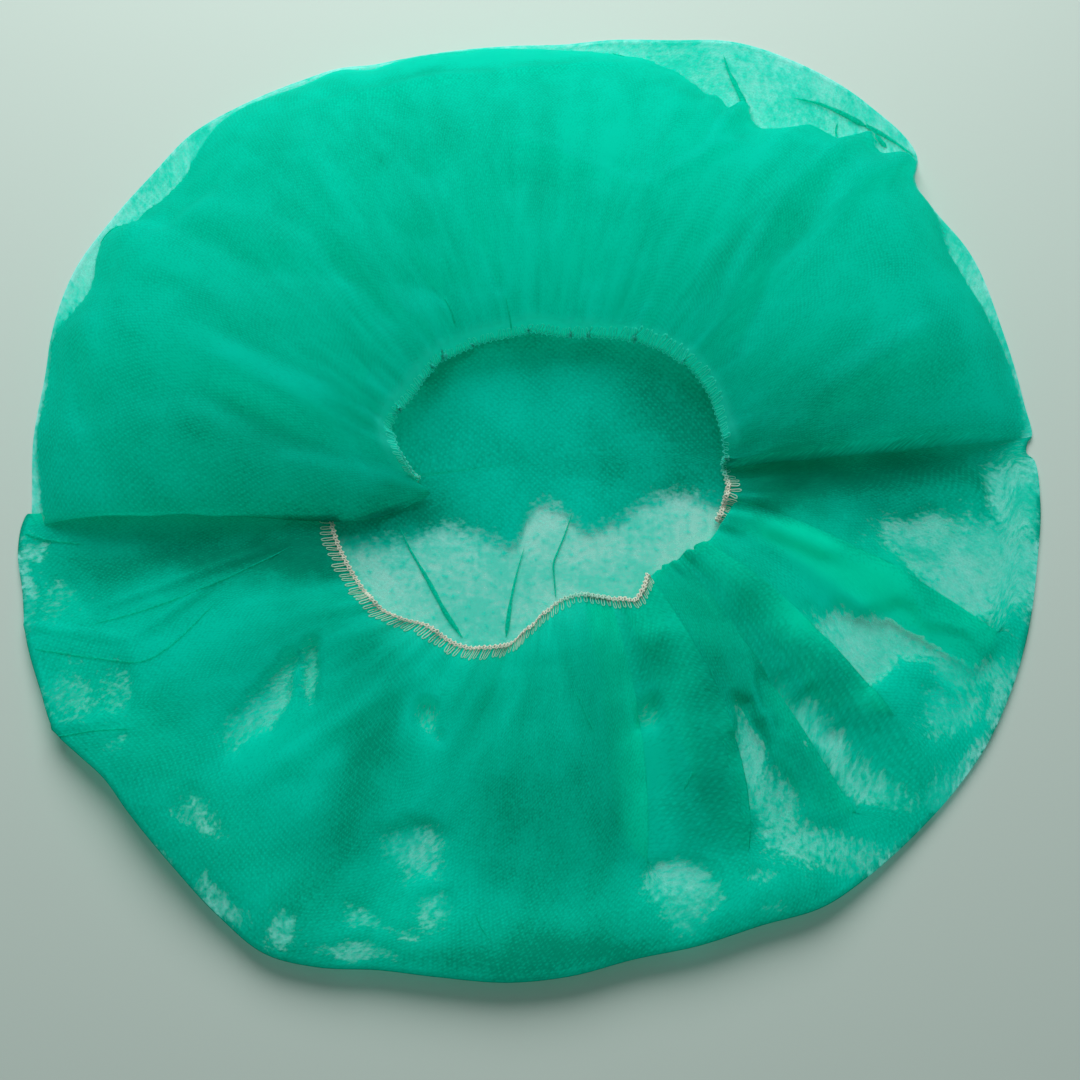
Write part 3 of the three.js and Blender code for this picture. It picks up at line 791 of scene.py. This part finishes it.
def crumpleHeight(x, y, upperSide):
    # soft facets with sharper edges between them
    coarse = np.abs(softNoise(x, y, 0.034, 21)) - form["facetMiddle"]
    middle = np.abs(softNoise(x + 0.3, y, 0.019, 22)) - form["facetMiddle"]
    fine = softNoise(x, y + 0.2, 0.0085, 23)
    amount = form["crumpleRise"] * (1.0 + form["pillowCrumple"] * upperSide)
    large, small, finest = form["facetWeights"]
    return amount * (large * coarse + small * middle + finest * fine)


def rollStrip(base, before, turn):
    # the last few millimetres of cloth by the opening, flat or folded under
    roll = np.clip(readAround(openingTable, 3, turn), 0, 1)
    inward = unitVectors(base - before)
    around = unitVectors(np.roll(base, -1, axis=0) - np.roll(base, 1, axis=0))
    upward = unitVectors(np.cross(around, inward))
    upward = upward * np.where(upward[:, 2:3] < 0, -1, 1)
    count = form["stripRows"]
    step = form["stripLength"] / count
    shift = -inward * (form["stripLength"] * (1 - roll))[:, None]
    place = base + shift
    halfRound = form["rollRadius"] * math.pi
    rows = []
    for index in range(count):
        bent = min((index + 0.5) * step / halfRound, 1.0)
        bend = bent * math.radians(form["rollTurn"]) * roll
        place = place + step * (inward * np.cos(bend)[:, None] - upward * np.sin(bend)[:, None])
        place[:, 2] = np.maximum(place[:, 2], form["floorGap"] * 2)
        rows.append(place.copy())
    return rows, shift


def columnTurns():
    turns = []
    for start, end, count in columnTable:
        turns.extend(np.linspace(start, end, count, endpoint=False))
    turns = np.array(turns)
    for row in pleatTable:
        for fold in (row[0] - form["pleatHalf"], row[0] + form["pleatHalf"]):
            nearest = np.argmin(np.abs(turns - fold))
            turns[nearest - 1:nearest + 2] = fold + np.array([-1, 0, 1]) * form["foldWidth"]
    return turns


def flatPlaces(grid, turn):
    # where each point lies on the flat disc, from the lengths along the columns
    steps = np.linalg.norm(np.diff(grid, axis=0), axis=-1)
    reach = np.concatenate([np.linalg.norm(grid[:1, :, :2], axis=-1), steps]).cumsum(axis=0)
    direction = np.radians(turn)
    return np.stack([reach * np.cos(direction), reach * np.sin(direction)], axis=-1)


def buildPinches(points, faces):
    # flattened tubes that lie on whatever part of the cloth is uppermost
    ground = BVHTree.FromPolygons(points.tolist(), faces)
    sides, rings, end = (form[key] for key in ("pinchSides", "pinchRings", "pinchEnd"))
    newPoints, newFaces, used = [], [], 0
    for firstHalf, lastHalf, *places in pinchTable:
        places = np.array(places) * (halfWidth, halfDepth)
        steps = np.concatenate([[0.0], np.linalg.norm(np.diff(places, axis=0), axis=1).cumsum()])
        at = np.linspace(0, steps[-1], rings)
        x, y = np.interp(at, steps, places[:, 0]), np.interp(at, steps, places[:, 1])
        for _ in range(form["pinchEasings"]):
            x[1:-1] = (x[:-2] + 2 * x[1:-1] + x[2:]) / 4
            y[1:-1] = (y[:-2] + 2 * y[1:-1] + y[2:]) / 4
        ahead = unitVectors(np.stack([np.gradient(x), np.gradient(y)], axis=1))
        beside = np.stack([-ahead[:, 1], ahead[:, 0]], axis=1)
        share = np.linspace(0, 1, rings)
        ending = np.minimum(smoothStep(0, end, share), 1 - smoothStep(1 - end, 1, share))
        ending = np.sqrt(np.maximum(ending, 0.01))
        wavering = 1 + form["pinchWaver"] * softNoise(x, y, 0.004, 41)
        wide = (firstHalf + (lastHalf - firstHalf) * share) * ending * wavering
        for ring in range(rings):
            for angle in ringAngles(sides):
                across = math.cos(angle) * wide[ring]
                place = (x[ring] + beside[ring, 0] * across, y[ring] + beside[ring, 1] * across)
                hit = ground.ray_cast(Vector((*place, 0.2)), Vector((0.0, 0.0, -1.0)))[0]
                height = hit.z if hit else form["floorGap"]
                rise = form["pinchRise"] * math.sin(angle) * ending[ring]
                newPoints.append((*place, height + form["pinchLift"] + rise))
        newFaces += tubeFaces(rings, sides, used)
        used += rings * sides
    return np.array(newPoints), newFaces


def buildCloth(flatEnd=0.9985, foldShade=0.2):
    # the grid runs from the middle of the lower layer over the rim to the opening and the strip along it
    turn = columnTurns()
    columns = len(turn)
    shares = np.linspace(0, 1, form["flatRows"] + 1)[1:]
    shares = np.interp(shares, [0, 0.75, 0.95, 1], [0, 0.5, 0.985, 1])
    flatTurn, flatShare = np.meshgrid(turn, shares * flatEnd)
    flat, flatTouch = lowerLayer(flatTurn, flatShare)
    steps = np.linspace(0, 1, form["upperRows"] - 1)[1:] ** 0.96
    upTurn, upAlong = np.meshgrid(turn, np.concatenate([[0.0012, 0.005], steps]))
    upper, upperTouch, upperShade = upperLayer(upTurn, upAlong)
    startX, startY = rimPoint(turn)
    rimRows, rimTouch = [], []
    low, high = flat[-1], upper[0]
    outward = unitVectors(np.stack([startX, startY, np.zeros(columns)], axis=-1))
    tall = high[:, 2] - low[:, 2]
    for index in range(form["rimRows"]):
        # a half round from the lower layer up to the upper one
        angle = (index + 1) / (form["rimRows"] + 1) * math.pi
        middle = np.stack([startX, startY, low[:, 2] + tall * (0.5 - 0.5 * math.cos(angle))], axis=-1)
        rimRows.append(middle + outward * (math.sin(angle) * tall[:, None] * 0.5))
        rimTouch.append(np.minimum(flatTouch[-1], upperTouch[0]))
    strip, shift = rollStrip(upper[-1], upper[-6], turn)
    fade = smoothStep(0.80, 1.0, upAlong)[..., None]
    upper = upper + shift[None] * fade
    grid = np.array(list(flat) + rimRows + list(upper) + strip)
    first = len(flat) + len(rimRows)
    touch = np.array(list(flatTouch) + rimTouch + list(upperTouch) + [upperTouch[-1]] * len(strip))
    crease, hem, densityAndPaintedShade = np.zeros_like(touch), np.zeros_like(touch), np.zeros_like(touch)
    crease[first:first + 2] = 0.5
    crease[len(flat):first] = 1.0
    # the layer seen through the opening gets its painted shade and painted light from the inside ovals
    densityAndPaintedShade[:len(flat)] = shadePlace(flat[..., 0] / halfWidth, flat[..., 1] / halfDepth, insideTable)
    densityAndPaintedShade[first:-len(strip)] = upperShade
    densityAndPaintedShade[-len(strip):] = upperShade[-1]
    underTurned = easeSpan("underTurned", turn)
    hem[-len(strip):] = underTurned
    hem[-len(strip) - 2:-len(strip)] = np.array([[0.1], [0.5]]) * underTurned
    rows = len(grid)
    points = np.concatenate([grid.reshape(-1, 3), [[0.0, 0.0, grid[0, :, 2].mean()]]])
    level, index = np.meshgrid(np.arange(rows - 1), np.arange(columns), indexing="ij")
    following = (index + 1) % columns
    near, far = level * columns, (level + 1) * columns
    quads = np.stack([near + index, near + following, far + following, far + index], axis=-1).reshape(-1, 4)
    pole = len(points) - 1
    faces = quads.tolist() + [(pole, (place + 1) % columns, place) for place in range(columns)]
    pinches, pinchFaces = buildPinches(points, faces)
    faces += [tuple(place + len(points) for place in face) for face in pinchFaces]
    extra = len(pinches)
    # each value over the grid, at its middle point and on the pressed folds
    pointValues = {}
    for label, values, onFold in (("contact", touch, 0.0), ("crease", crease, 0.0), ("hem", hem, 0.0),
                                  ("densityAndPaintedShade", densityAndPaintedShade, foldShade)):
        pointValues[label] = np.concatenate([values.ravel(), values[0, :1], np.full(extra, onFold)])
    cloth = makePiece("crownCloth", np.concatenate([points, pinches]), faces, pointValues)
    mesh = cloth.data
    corners = np.empty(len(mesh.loops), dtype=np.int32)
    mesh.loops.foreach_get("vertex_index", corners)
    flatMap = np.concatenate([flatPlaces(grid, turn).reshape(-1, 2), [[0.0, 0.0]], pinches[:, :2]])
    mesh.uv_layers.new(name="flatMap").data.foreach_set("uv", flatMap[corners].ravel().astype(np.float32))
    # the streaks of the gathers run along the upper layer only
    along = np.concatenate([np.zeros(first), np.linspace(0, 1, rows - first)])
    across, along = np.meshgrid(turn, along)
    radial, upward = np.radians(across), along > 0
    ring = np.stack([np.cos(radial) * upward, np.sin(radial) * upward, along], axis=-1).reshape(-1, 3)
    ring = np.concatenate([ring, np.zeros((1 + extra, 3))])
    streaks = mesh.attributes.new("ring", "FLOAT_VECTOR", "POINT")
    streaks.data.foreach_set("vector", ring.ravel().astype(np.float32))
    return cloth, np.array([upper[-1]] + strip)


cloth, strip = buildCloth()
print("cloth made with", len(cloth.data.polygons), "faces")

# The overlock stitches and the thin elastic that they hold along the cloth's edge

stitch = {
    "pitch": 0.0019,
    "reach": 0.0044,
    "standOff": 0.00017,
    "loopRadius": 0.00016,
    "chainRadius": 0.00021,
    "threadSides": 5,
    "elasticRadius": 0.00026,
    "elasticSides": 8,
    "elasticRow": 7,
    "elasticFlat": 0.6,
    "elasticIn": 0.0003,
    "elasticRolled": 0.0004,
    "hiddenIn": 0.0014,
    "hiddenDrop": 0.0007,
    "unevenness": 0.14,
    "slantShare": 2.4,
    "slantStart": 0.2,
    "innerFade": 0.35,
    "edgeWhite": 0.9,
    "whiteOnTop": 0.25,
    "chainBelow": 0.6,
    "seed": 12,
}

# Along the hem, by direction: pitch and reach as shares of those above, and how white the thread shows, 0
# where it is seen through the cloth and 1 where it lies on top
hemTable = [
    (0, 0.9, 0.8, 0.9), (4, 1.0, 0.7, 0.5), (7, 1.0, 0.3, 0.2), (12, 1.0, 0.3, 0.05), (17, 1.0, 0.6, 0.0),
    (90, 1.0, 0.7, 0.0), (158, 1.0, 0.64, 0.0), (165, 1.0, 0.6, 0.12), (170, 1.0, 0.6, 0.26),
    (174, 1.0, 0.5, 0.1), (182, 1.0, 0.7, 0.4), (187, 1.0, 0.9, 0.9), (200, 1.0, 1.0, 1.0),
    (216, 1.0, 1.05, 1.0), (226, 1.0, 0.9, 1.0), (236, 0.92, 0.85, 1.0), (246, 0.88, 0.85, 1.0),
    (256, 0.9, 0.85, 1.0), (264, 1.0, 0.75, 0.9), (272, 1.0, 0.6, 0.6), (280, 1.0, 0.6, 0.7),
    (287, 0.9, 0.65, 0.9), (296, 0.85, 0.7, 1.0), (301, 0.9, 0.7, 0.9), (304, 1.0, 0.6, 0.1),
    (334, 1.0, 0.6, 0.0), (339, 0.9, 0.75, 0.8), (344, 0.85, 0.8, 1.0), (352, 0.85, 0.85, 1.0),
]

# One stitch: along the edge as a share of the pitch, in from it as a share of the reach, and height above
# the cloth in steps of the stand off
loopPath = [
    (-0.4, 0.02, 4.0), (-0.24, 0.12, 3.4), (-0.21, 0.3, 1.7), (-0.24, 0.55, 1.3), (-0.26, 0.78, 1.3),
    (-0.2, 0.94, 1.4), (-0.06, 1.02, 1.5), (0.09, 1.0, 1.5), (0.19, 0.86, 1.3), (0.19, 0.55, 1.3),
    (0.15, 0.28, 1.7), (0.22, 0.12, 3.2), (0.38, 0.02, 4.0),
]
chainPaths = [
    [(-0.54, -0.2, 0.8), (-0.34, -0.16, 2.4), (-0.12, 0.14, 4.2),
     (0.06, 0.2, 4.4), (0.28, -0.04, 2.6), (0.5, -0.2, 0.8)],
    [(-0.5, 0.1, 3.4), (-0.26, 0.06, 4.4), (-0.04, -0.08, 2.2),
     (0.16, -0.08, 1.0), (0.34, 0.04, 2.8), (0.54, 0.1, 3.6)],
]


def tubeTemplate(path, radius):
    # rings of points round one path, in the stitch's own along, in and up lengths
    scale = np.array([stitch["pitch"], stitch["reach"], stitch["standOff"]])
    centres = np.array(path) * scale
    tangents = unitVectors(np.gradient(centres, axis=0))
    side = unitVectors(np.cross(tangents, [0.0, 0.0, 1.0]) + [1e-6, 0.0, 0.0])
    rise = np.cross(side, tangents)
    sides = stitch["threadSides"]
    rings = [centres + (side * math.cos(angle) + rise * math.sin(angle)) * radius
             for angle in ringAngles(sides)]
    return np.stack(rings, axis=1).reshape(-1, 3), np.array(tubeFaces(len(path), sides))


def edgeFrames():
    # places and upward directions on the strip of cloth by the opening, row by row
    around = unitVectors(np.roll(strip, -1, axis=1) - np.roll(strip, 1, axis=1))
    inward = unitVectors(np.gradient(strip, axis=0))
    upward = unitVectors(np.cross(around, inward))
    upward = upward * np.where(upward[:1, :, 2:3] < 0, -1, 1)
    return inward, upward


def sampleStrip(values, row, place):
    # values on the strip of cloth, read between its rows and its columns
    columns = values.shape[1]
    lowRow = np.clip(np.floor(row).astype(int), 0, len(values) - 2)
    rowShare = (np.clip(row, 0, len(values) - 1) - lowRow)[:, None]
    low = np.floor(place).astype(int)
    share = (place - low)[:, None]
    low, high = low % columns, (low + 1) % columns
    first = values[lowRow, low] * (1 - share) + values[lowRow, high] * share
    second = values[lowRow + 1, low] * (1 - share) + values[lowRow + 1, high] * share
    return first * (1 - rowShare) + second * rowShare


def hemValue(column, turn):
    return readAround(hemTable, column, turn)


def buildStitches():
    # each stitch has a loop above the cloth, one below it and two turns of the chain along the edge
    inward, upward = edgeFrames()
    templates = [tubeTemplate(loopPath, stitch["loopRadius"])] * 2
    templates += [tubeTemplate(path, stitch["chainRadius"]) for path in chainPaths]
    edge, turn = strip[-1], columnTurns()
    lengths = np.linalg.norm(np.roll(edge, -1, axis=0) - edge, axis=-1)
    travelled = np.concatenate([[0.0], lengths.cumsum()])
    counted = np.concatenate([[0.0], (lengths / (stitch["pitch"] * hemValue(1, turn))).cumsum()])
    total, count = travelled[-1], int(counted[-1])
    centres = np.interp((np.arange(count) + 0.5) * counted[-1] / count, counted, travelled)
    turns = np.append(turn, turn[0] + fullTurn)
    rowStep = form["stripLength"] / form["stripRows"]
    chance = np.random.default_rng(stitch["seed"])
    points, faces, whites, used = [], [], [], 0
    for centre in centres:
        direction = np.interp(centre, travelled, turns)
        closer, reach, white = (float(hemValue(column, direction)) for column in (1, 2, 3))
        longer = reach * (1 + chance.uniform(-1, 1) * stitch["unevenness"])
        slant = chance.uniform(-1.0, 0.8) * stitch["unevenness"] * stitch["slantShare"]
        for kind, (shape, sides) in enumerate(templates):
            local = shape.copy()
            inner = np.maximum(local[:, 1] / stitch["reach"] - stitch["slantStart"], 0)
            local[:, 0] *= closer
            if kind < 2:
                local[:, 0] += slant * inner * stitch["pitch"]
                local[:, 1] *= longer
                local[:, 2] *= 0.5 + 0.5 * min(white * 2, 1)
                fade = stitch["innerFade"] * np.clip(inner, 0, 1)
                whites.append(white * (stitch["edgeWhite"] - fade))
            else:
                # the chain shows on top where the thread is white and lies under the cloth elsewhere
                whites.append(np.full(len(shape), white))
                local[:, 2] *= 1.0 if white > stitch["whiteOnTop"] else -stitch["chainBelow"]
            place = np.interp(np.mod(centre + local[:, 0], total), travelled, np.arange(len(travelled)))
            row = (len(strip) - 1) - local[:, 1] / rowStep
            spare = np.maximum(-local[:, 1], 0)[:, None]
            back = np.maximum(-row, 0)[:, None] * rowStep
            ground = sampleStrip(strip, row, place)
            into = sampleStrip(inward, row, place)
            lift = unitVectors(sampleStrip(upward, row, place))
            lift = lift * (-1 if kind == 1 else 1)
            points.append(ground + into * spare - into * back + lift * local[:, 2:3])
            faces.append(sides + used)
            used += len(shape)
    return makePiece("overlockThread", np.concatenate(points), np.concatenate(faces).tolist(),
                     {"white": np.clip(np.concatenate(whites), 0, 1)})


def buildElastic():
    # a flattened tube along the edge, lower and further in where it is seen through the cloth
    inward, upward = edgeFrames()
    row, sides = stitch["elasticRow"], stitch["elasticSides"]
    turn = columnTurns()
    white = hemValue(3, turn)
    rolled = np.clip(readAround(openingTable, 3, turn) * 2 - 1, 0, 1)[:, None]
    hidden = np.clip(1.4 - 2 * white[:, None], 0, 1) * (1 - rolled)
    centre = strip[row] + inward[row] * (stitch["elasticIn"] - stitch["hiddenIn"] * hidden)
    lift = stitch["elasticRolled"] * rolled - stitch["hiddenDrop"] * hidden
    centre = centre + upward[row] * lift
    columns = len(centre)
    points = []
    for angle in ringAngles(sides).tolist():
        reach = inward[row] * math.cos(angle) + upward[row] * math.sin(angle) * stitch["elasticFlat"]
        points.append(centre + reach * stitch["elasticRadius"])
    points = np.array(points).transpose(1, 0, 2).reshape(-1, 3)
    faces = []
    for index in range(columns):
        near, far = index * sides, (index + 1) % columns * sides
        for side in range(sides):
            beside = (side + 1) % sides
            faces.append((near + side, far + side, far + beside, near + beside))
    return makePiece("hemElastic", points, faces, {"white": np.clip(np.repeat(white, sides), 0, 1)})


thread = buildStitches()
elastic = buildElastic()
print("stitches and elastic made with", len(thread.data.polygons), "faces")

# Materials

clothLook = {
    # deep and bright: dense and thin cloth, and painted shade and painted light; fold: the rim's crease and
    # the deepest painted shade
    "deep": (0.0, 0.60, 0.45, 1.0),
    "bright": (0.0, 0.97, 0.83, 1.0),
    "pale": (0.02, 0.94, 0.82, 1.0),
    "palest": (0.46, 1.0, 0.96, 1.0),
    "fold": (0.0, 0.42, 0.31, 1.0),
    "hemBand": (0.08, 1.0, 0.92, 1.0),
    "through": 0.76,
    "throughTouching": 0.30,
    "clearAway": 0.07,
    "clearTouching": 0.58,
    "tintAway": (0.30, 1.0, 0.88, 1.0),
    "tintTouching": (0.74, 1.0, 0.96, 1.0),
    "dotPitch": 0.0013,
    "drawnOut": (0.85, 1.2, 1.0),
    "rayScale": (26.0, 26.0, 2.4),
    "contactBreak": 1.9,
    "pressedRange": (0.34, 0.86),
    "mottleRange": (0.36, 0.68),
    "mottleBreak": 0.7,
    "density": 0.36,
    "cloudAmount": 1.0,
    "streakAmounts": (0.55, 0.10),
    "broadAmount": 0.45,
    "fibreAmount": 1.3,
    "shadeBreak": (1.3, 0.25),
    "hemThinning": -0.5,
    "bondThinning": -0.50,
    "darkFrom": 0.75,
    "darkAmount": 0.9,
    "hemAmount": 0.5,
    "creaseAmount": 0.9,
    "sinkPower": 2.6,
    "denseClear": (-0.45, 1.1),
    "mottleClear": (0.4, 0.84),
    "creaseClear": (-0.8, 1.0),
    "roughness": 0.75,
    "shine": 0.06,
    "fuzz": (0.35, 0.0002),
}

# Noises of the cloth: scale, detail, roughness, distortion
clothNoises = {
    "speckle": (430.0, 6.0, 0.66, 0.0),
    "fibres": (900.0, 4.0, 0.5, 0.0),
    "clouds": (60.0, 6.0, 0.5, 0.0),
    "gathers": (1.0, 4.0, 0.5, 0.5),
    "broad": (0.3, 2.0, 0.5, 0.8),
    "mottle": (34.0, 8.0, 0.68, 0.4),
}

dotSettings = {
    "turn": 38,
    "stretch": (1.0, 1.35, 0.0),
    "outer": 0.40,
    "inner": 0.24,
}


def makeBondDots():
    # small round bonds on a diagonal grid, 1 on a bond and 0 between them
    inputs = [("Place", "NodeSocketVector", None), ("Pitch", "NodeSocketFloat", clothLook["dotPitch"])]
    group, source, target = nodeGroup("bondDots", inputs, [("Mask", "NodeSocketFloat")])
    turned = addNode(group, "ShaderNodeVectorRotate", {"Vector": source.outputs["Place"],
                                                       "Angle": math.radians(dotSettings["turn"])},
                     rotation_type="Z_AXIS")
    steps = addMath(group, "DIVIDE", 1.0, source.outputs["Pitch"])
    scaled = addNode(group, "ShaderNodeVectorMath", {0: turned.outputs[0], "Scale": steps},
                     operation="SCALE")
    cell = addVectorMath(group, "FRACTION", scaled.outputs[0])
    centred = addVectorMath(group, "SUBTRACT", cell, (0.5, 0.5, 0.0))
    flat = addVectorMath(group, "MULTIPLY", centred, dotSettings["stretch"])
    away = addNode(group, "ShaderNodeVectorMath", {0: flat}, operation="LENGTH").outputs["Value"]
    mask = addRange(group, away, dotSettings["outer"], dotSettings["inner"], interpolation="SMOOTHSTEP")
    group.links.new(mask, target.inputs["Mask"])
    return group


def makeClothMaterial():
    material = bpy.data.materials.new("spunbondCloth")
    material.use_nodes = True
    tree, look = material.node_tree, clothLook
    tree.nodes.clear()
    labels = ("contact", "crease", "hem", "densityAndPaintedShade")
    contact, crease, hem, densityAndPaintedShade = (readAttribute(tree, label) for label in labels)
    ring = readAttribute(tree, "ring", "Vector")
    flatMap = addNode(tree, "ShaderNodeUVMap", uv_map="flatMap").outputs["UV"]
    drawn = addVectorMath(tree, "MULTIPLY", flatMap, look["drawnOut"])
    rays = addVectorMath(tree, "MULTIPLY", ring, look["rayScale"])
    places = {"clouds": flatMap, "gathers": rays, "broad": rays}
    noise = {name: addNoise(tree, places.get(name, drawn), *values) for name, values in clothNoises.items()}
    dots = addNode(tree, "ShaderNodeGroup", node_tree=makeBondDots())
    tree.links.new(flatMap, dots.inputs["Place"])
    dots.inputs["Pitch"].default_value = look["dotPitch"]

    # where the layers touch
    broken = addSwing(tree, noise["speckle"], look["contactBreak"], contact)
    pressed = addRange(tree, broken, *look["pressedRange"], interpolation="SMOOTHSTEP")
    sinking = addMath(tree, "POWER", pressed, look["sinkPower"])
    mottle = addSwing(tree, noise["speckle"], look["mottleBreak"], noise["mottle"])
    mottle = addRange(tree, mottle, *look["mottleRange"], interpolation="SMOOTHSTEP")

    # how dense the cloth is, with painted shade and painted light from the ovals added in
    density = addSwing(tree, noise["clouds"], look["cloudAmount"], look["density"])
    nearness = addNode(tree, "ShaderNodeSeparateXYZ", {"Vector": ring}).outputs["Z"]
    streaks = addMath(tree, "MULTIPLY_ADD", addMath(tree, "POWER", nearness, 2.0), *look["streakAmounts"])
    amounts = {"gathers": streaks, "broad": look["broadAmount"], "fibres": look["fibreAmount"]}
    for name, amount in amounts.items():
        density = addSwing(tree, noise[name], amount, density)
    uneven = addMath(tree, "MULTIPLY_ADD", noise["speckle"], *look["shadeBreak"])
    # the ovals' painted shade darkens and their painted light lightens the cloth, broken up by the speckle
    density = addMath(tree, "MULTIPLY_ADD", densityAndPaintedShade, uneven, density)
    density = addMath(tree, "MULTIPLY_ADD", hem, look["hemThinning"], density)
    thinning = addMath(tree, "MULTIPLY", noise["clouds"], look["bondThinning"])
    density = addMath(tree, "ADD", density, addMath(tree, "MULTIPLY", dots.outputs["Mask"], thinning))
    # past darkFrom the colour goes on darkening towards the fold colour: mostly the painted shadows under the
    # pillow's front fold and the beak
    deepestShade = addMath(tree, "SUBTRACT", density, look["darkFrom"])
    deepestShade = addMath(tree, "MULTIPLY", deepestShade, look["darkAmount"], clamp=True)
    density = addMath(tree, "MAXIMUM", addMath(tree, "MINIMUM", density, 1.0), 0.0)

    # its colour, deep where the cloth is dense and where shade is painted, bright where it is thin and where
    # light is painted
    teal = mixColour(tree, density, look["bright"], look["deep"])
    # the deepest painted shade
    teal = mixColour(tree, deepestShade, teal, look["fold"])
    teal = mixColour(tree, addMath(tree, "MULTIPLY", hem, look["hemAmount"]), teal, look["hemBand"])
    teal = mixColour(tree, addMath(tree, "MULTIPLY", crease, look["creaseAmount"]), teal, look["fold"])
    pale = mixColour(tree, mottle, look["pale"], look["palest"])
    colour = mixColour(tree, pressed, teal, pale)
    fuzz = addFuzz(tree, noise["fibres"], *look["fuzz"])
    face = addNode(tree, "ShaderNodeBsdfPrincipled", {"Base Color": colour, "Roughness": look["roughness"],
                                                      "Normal": fuzz, "Specular IOR Level": look["shine"]})
    back = addNode(tree, "ShaderNodeBsdfTranslucent", {"Color": colour, "Normal": fuzz})
    through = addRange(tree, addMath(tree, "MULTIPLY", sinking, mottle),
                       low=look["through"], high=look["throughTouching"])
    body = addNode(tree, "ShaderNodeMixShader", {0: through, 1: face.outputs[0], 2: back.outputs[0]})

    # the share of it that lets one see through
    tint = mixColour(tree, sinking, look["tintAway"], look["tintTouching"])
    clear = addNode(tree, "ShaderNodeBsdfTransparent", {"Color": tint})
    share = addRange(tree, sinking, low=look["clearAway"], high=look["clearTouching"])
    share = addMath(tree, "MULTIPLY", share, addMath(tree, "MULTIPLY_ADD", density, *look["denseClear"]))
    share = addMath(tree, "MULTIPLY", share, addMath(tree, "MULTIPLY_ADD", mottle, *look["mottleClear"]))
    uncreased = addMath(tree, "MULTIPLY_ADD", crease, *look["creaseClear"])
    share = addMath(tree, "MULTIPLY", share, uncreased, clamp=True)
    whole = addNode(tree, "ShaderNodeMixShader", {0: share, 1: body.outputs[0], 2: clear.outputs[0]})
    addNode(tree, "ShaderNodeOutputMaterial", {"Surface": whole.outputs[0]})
    return material


threadLook = {
    "light": (0.97, 0.96, 0.86, 1.0),
    "dark": (0.78, 0.76, 0.62, 1.0),
    "twistScale": 2500.0,
    "elasticLight": (0.88, 0.80, 0.72, 1.0),
    "elasticDark": (0.66, 0.54, 0.47, 1.0),
    "elasticScale": 900.0,
    "twistDetail": 3.0,
    "seenThrough": (0.20, 1.0, 0.94, 1.0),
    "throughWhite": 0.25,
    "throughTeal": 0.9,
    "roughness": 0.6,
    "sheen": 0.08,
    "shine": 0.2,
    "fuzz": (0.4, 0.0001),
}


def makeThreadMaterial(name, light, dark, scale):
    # thread that turns teal where it is seen through the cloth
    material = bpy.data.materials.new(name)
    material.use_nodes = True
    tree, look = material.node_tree, threadLook
    place = addNode(tree, "ShaderNodeTexCoord").outputs["Object"]
    twist = addNoise(tree, place, scale, look["twistDetail"])
    white = readAttribute(tree, "white")
    colour = mixColour(tree, white, look["seenThrough"], mixColour(tree, twist, dark, light))
    fuzz = addFuzz(tree, twist, *look["fuzz"])
    shader = tree.nodes["Principled BSDF"]
    tree.links.new(colour, shader.inputs["Base Color"])
    tree.links.new(fuzz, shader.inputs["Normal"])
    shader.inputs["Roughness"].default_value = look["roughness"]
    shader.inputs["Sheen Weight"].default_value = look["sheen"]
    shader.inputs["Specular IOR Level"].default_value = look["shine"]
    back = addNode(tree, "ShaderNodeBsdfTranslucent", {"Color": colour, "Normal": fuzz})
    through = addRange(tree, white, low=look["throughTeal"], high=look["throughWhite"])
    body = addNode(tree, "ShaderNodeMixShader", {0: through, 1: shader.outputs[0], 2: back.outputs[0]})
    tree.links.new(body.outputs[0], tree.nodes["Material Output"].inputs["Surface"])
    return material


cloth.data.materials.append(makeClothMaterial())
thread.data.materials.append(
    makeThreadMaterial("creamThread", threadLook["light"], threadLook["dark"], threadLook["twistScale"]))
elastic.data.materials.append(
    makeThreadMaterial("hemElastic", threadLook["elasticLight"], threadLook["elasticDark"],
                       threadLook["elasticScale"]))
print("materials made")

for piece in (cloth, thread, elastic):
    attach(piece, "root")
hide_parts("crown")
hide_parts("elastic_hem")
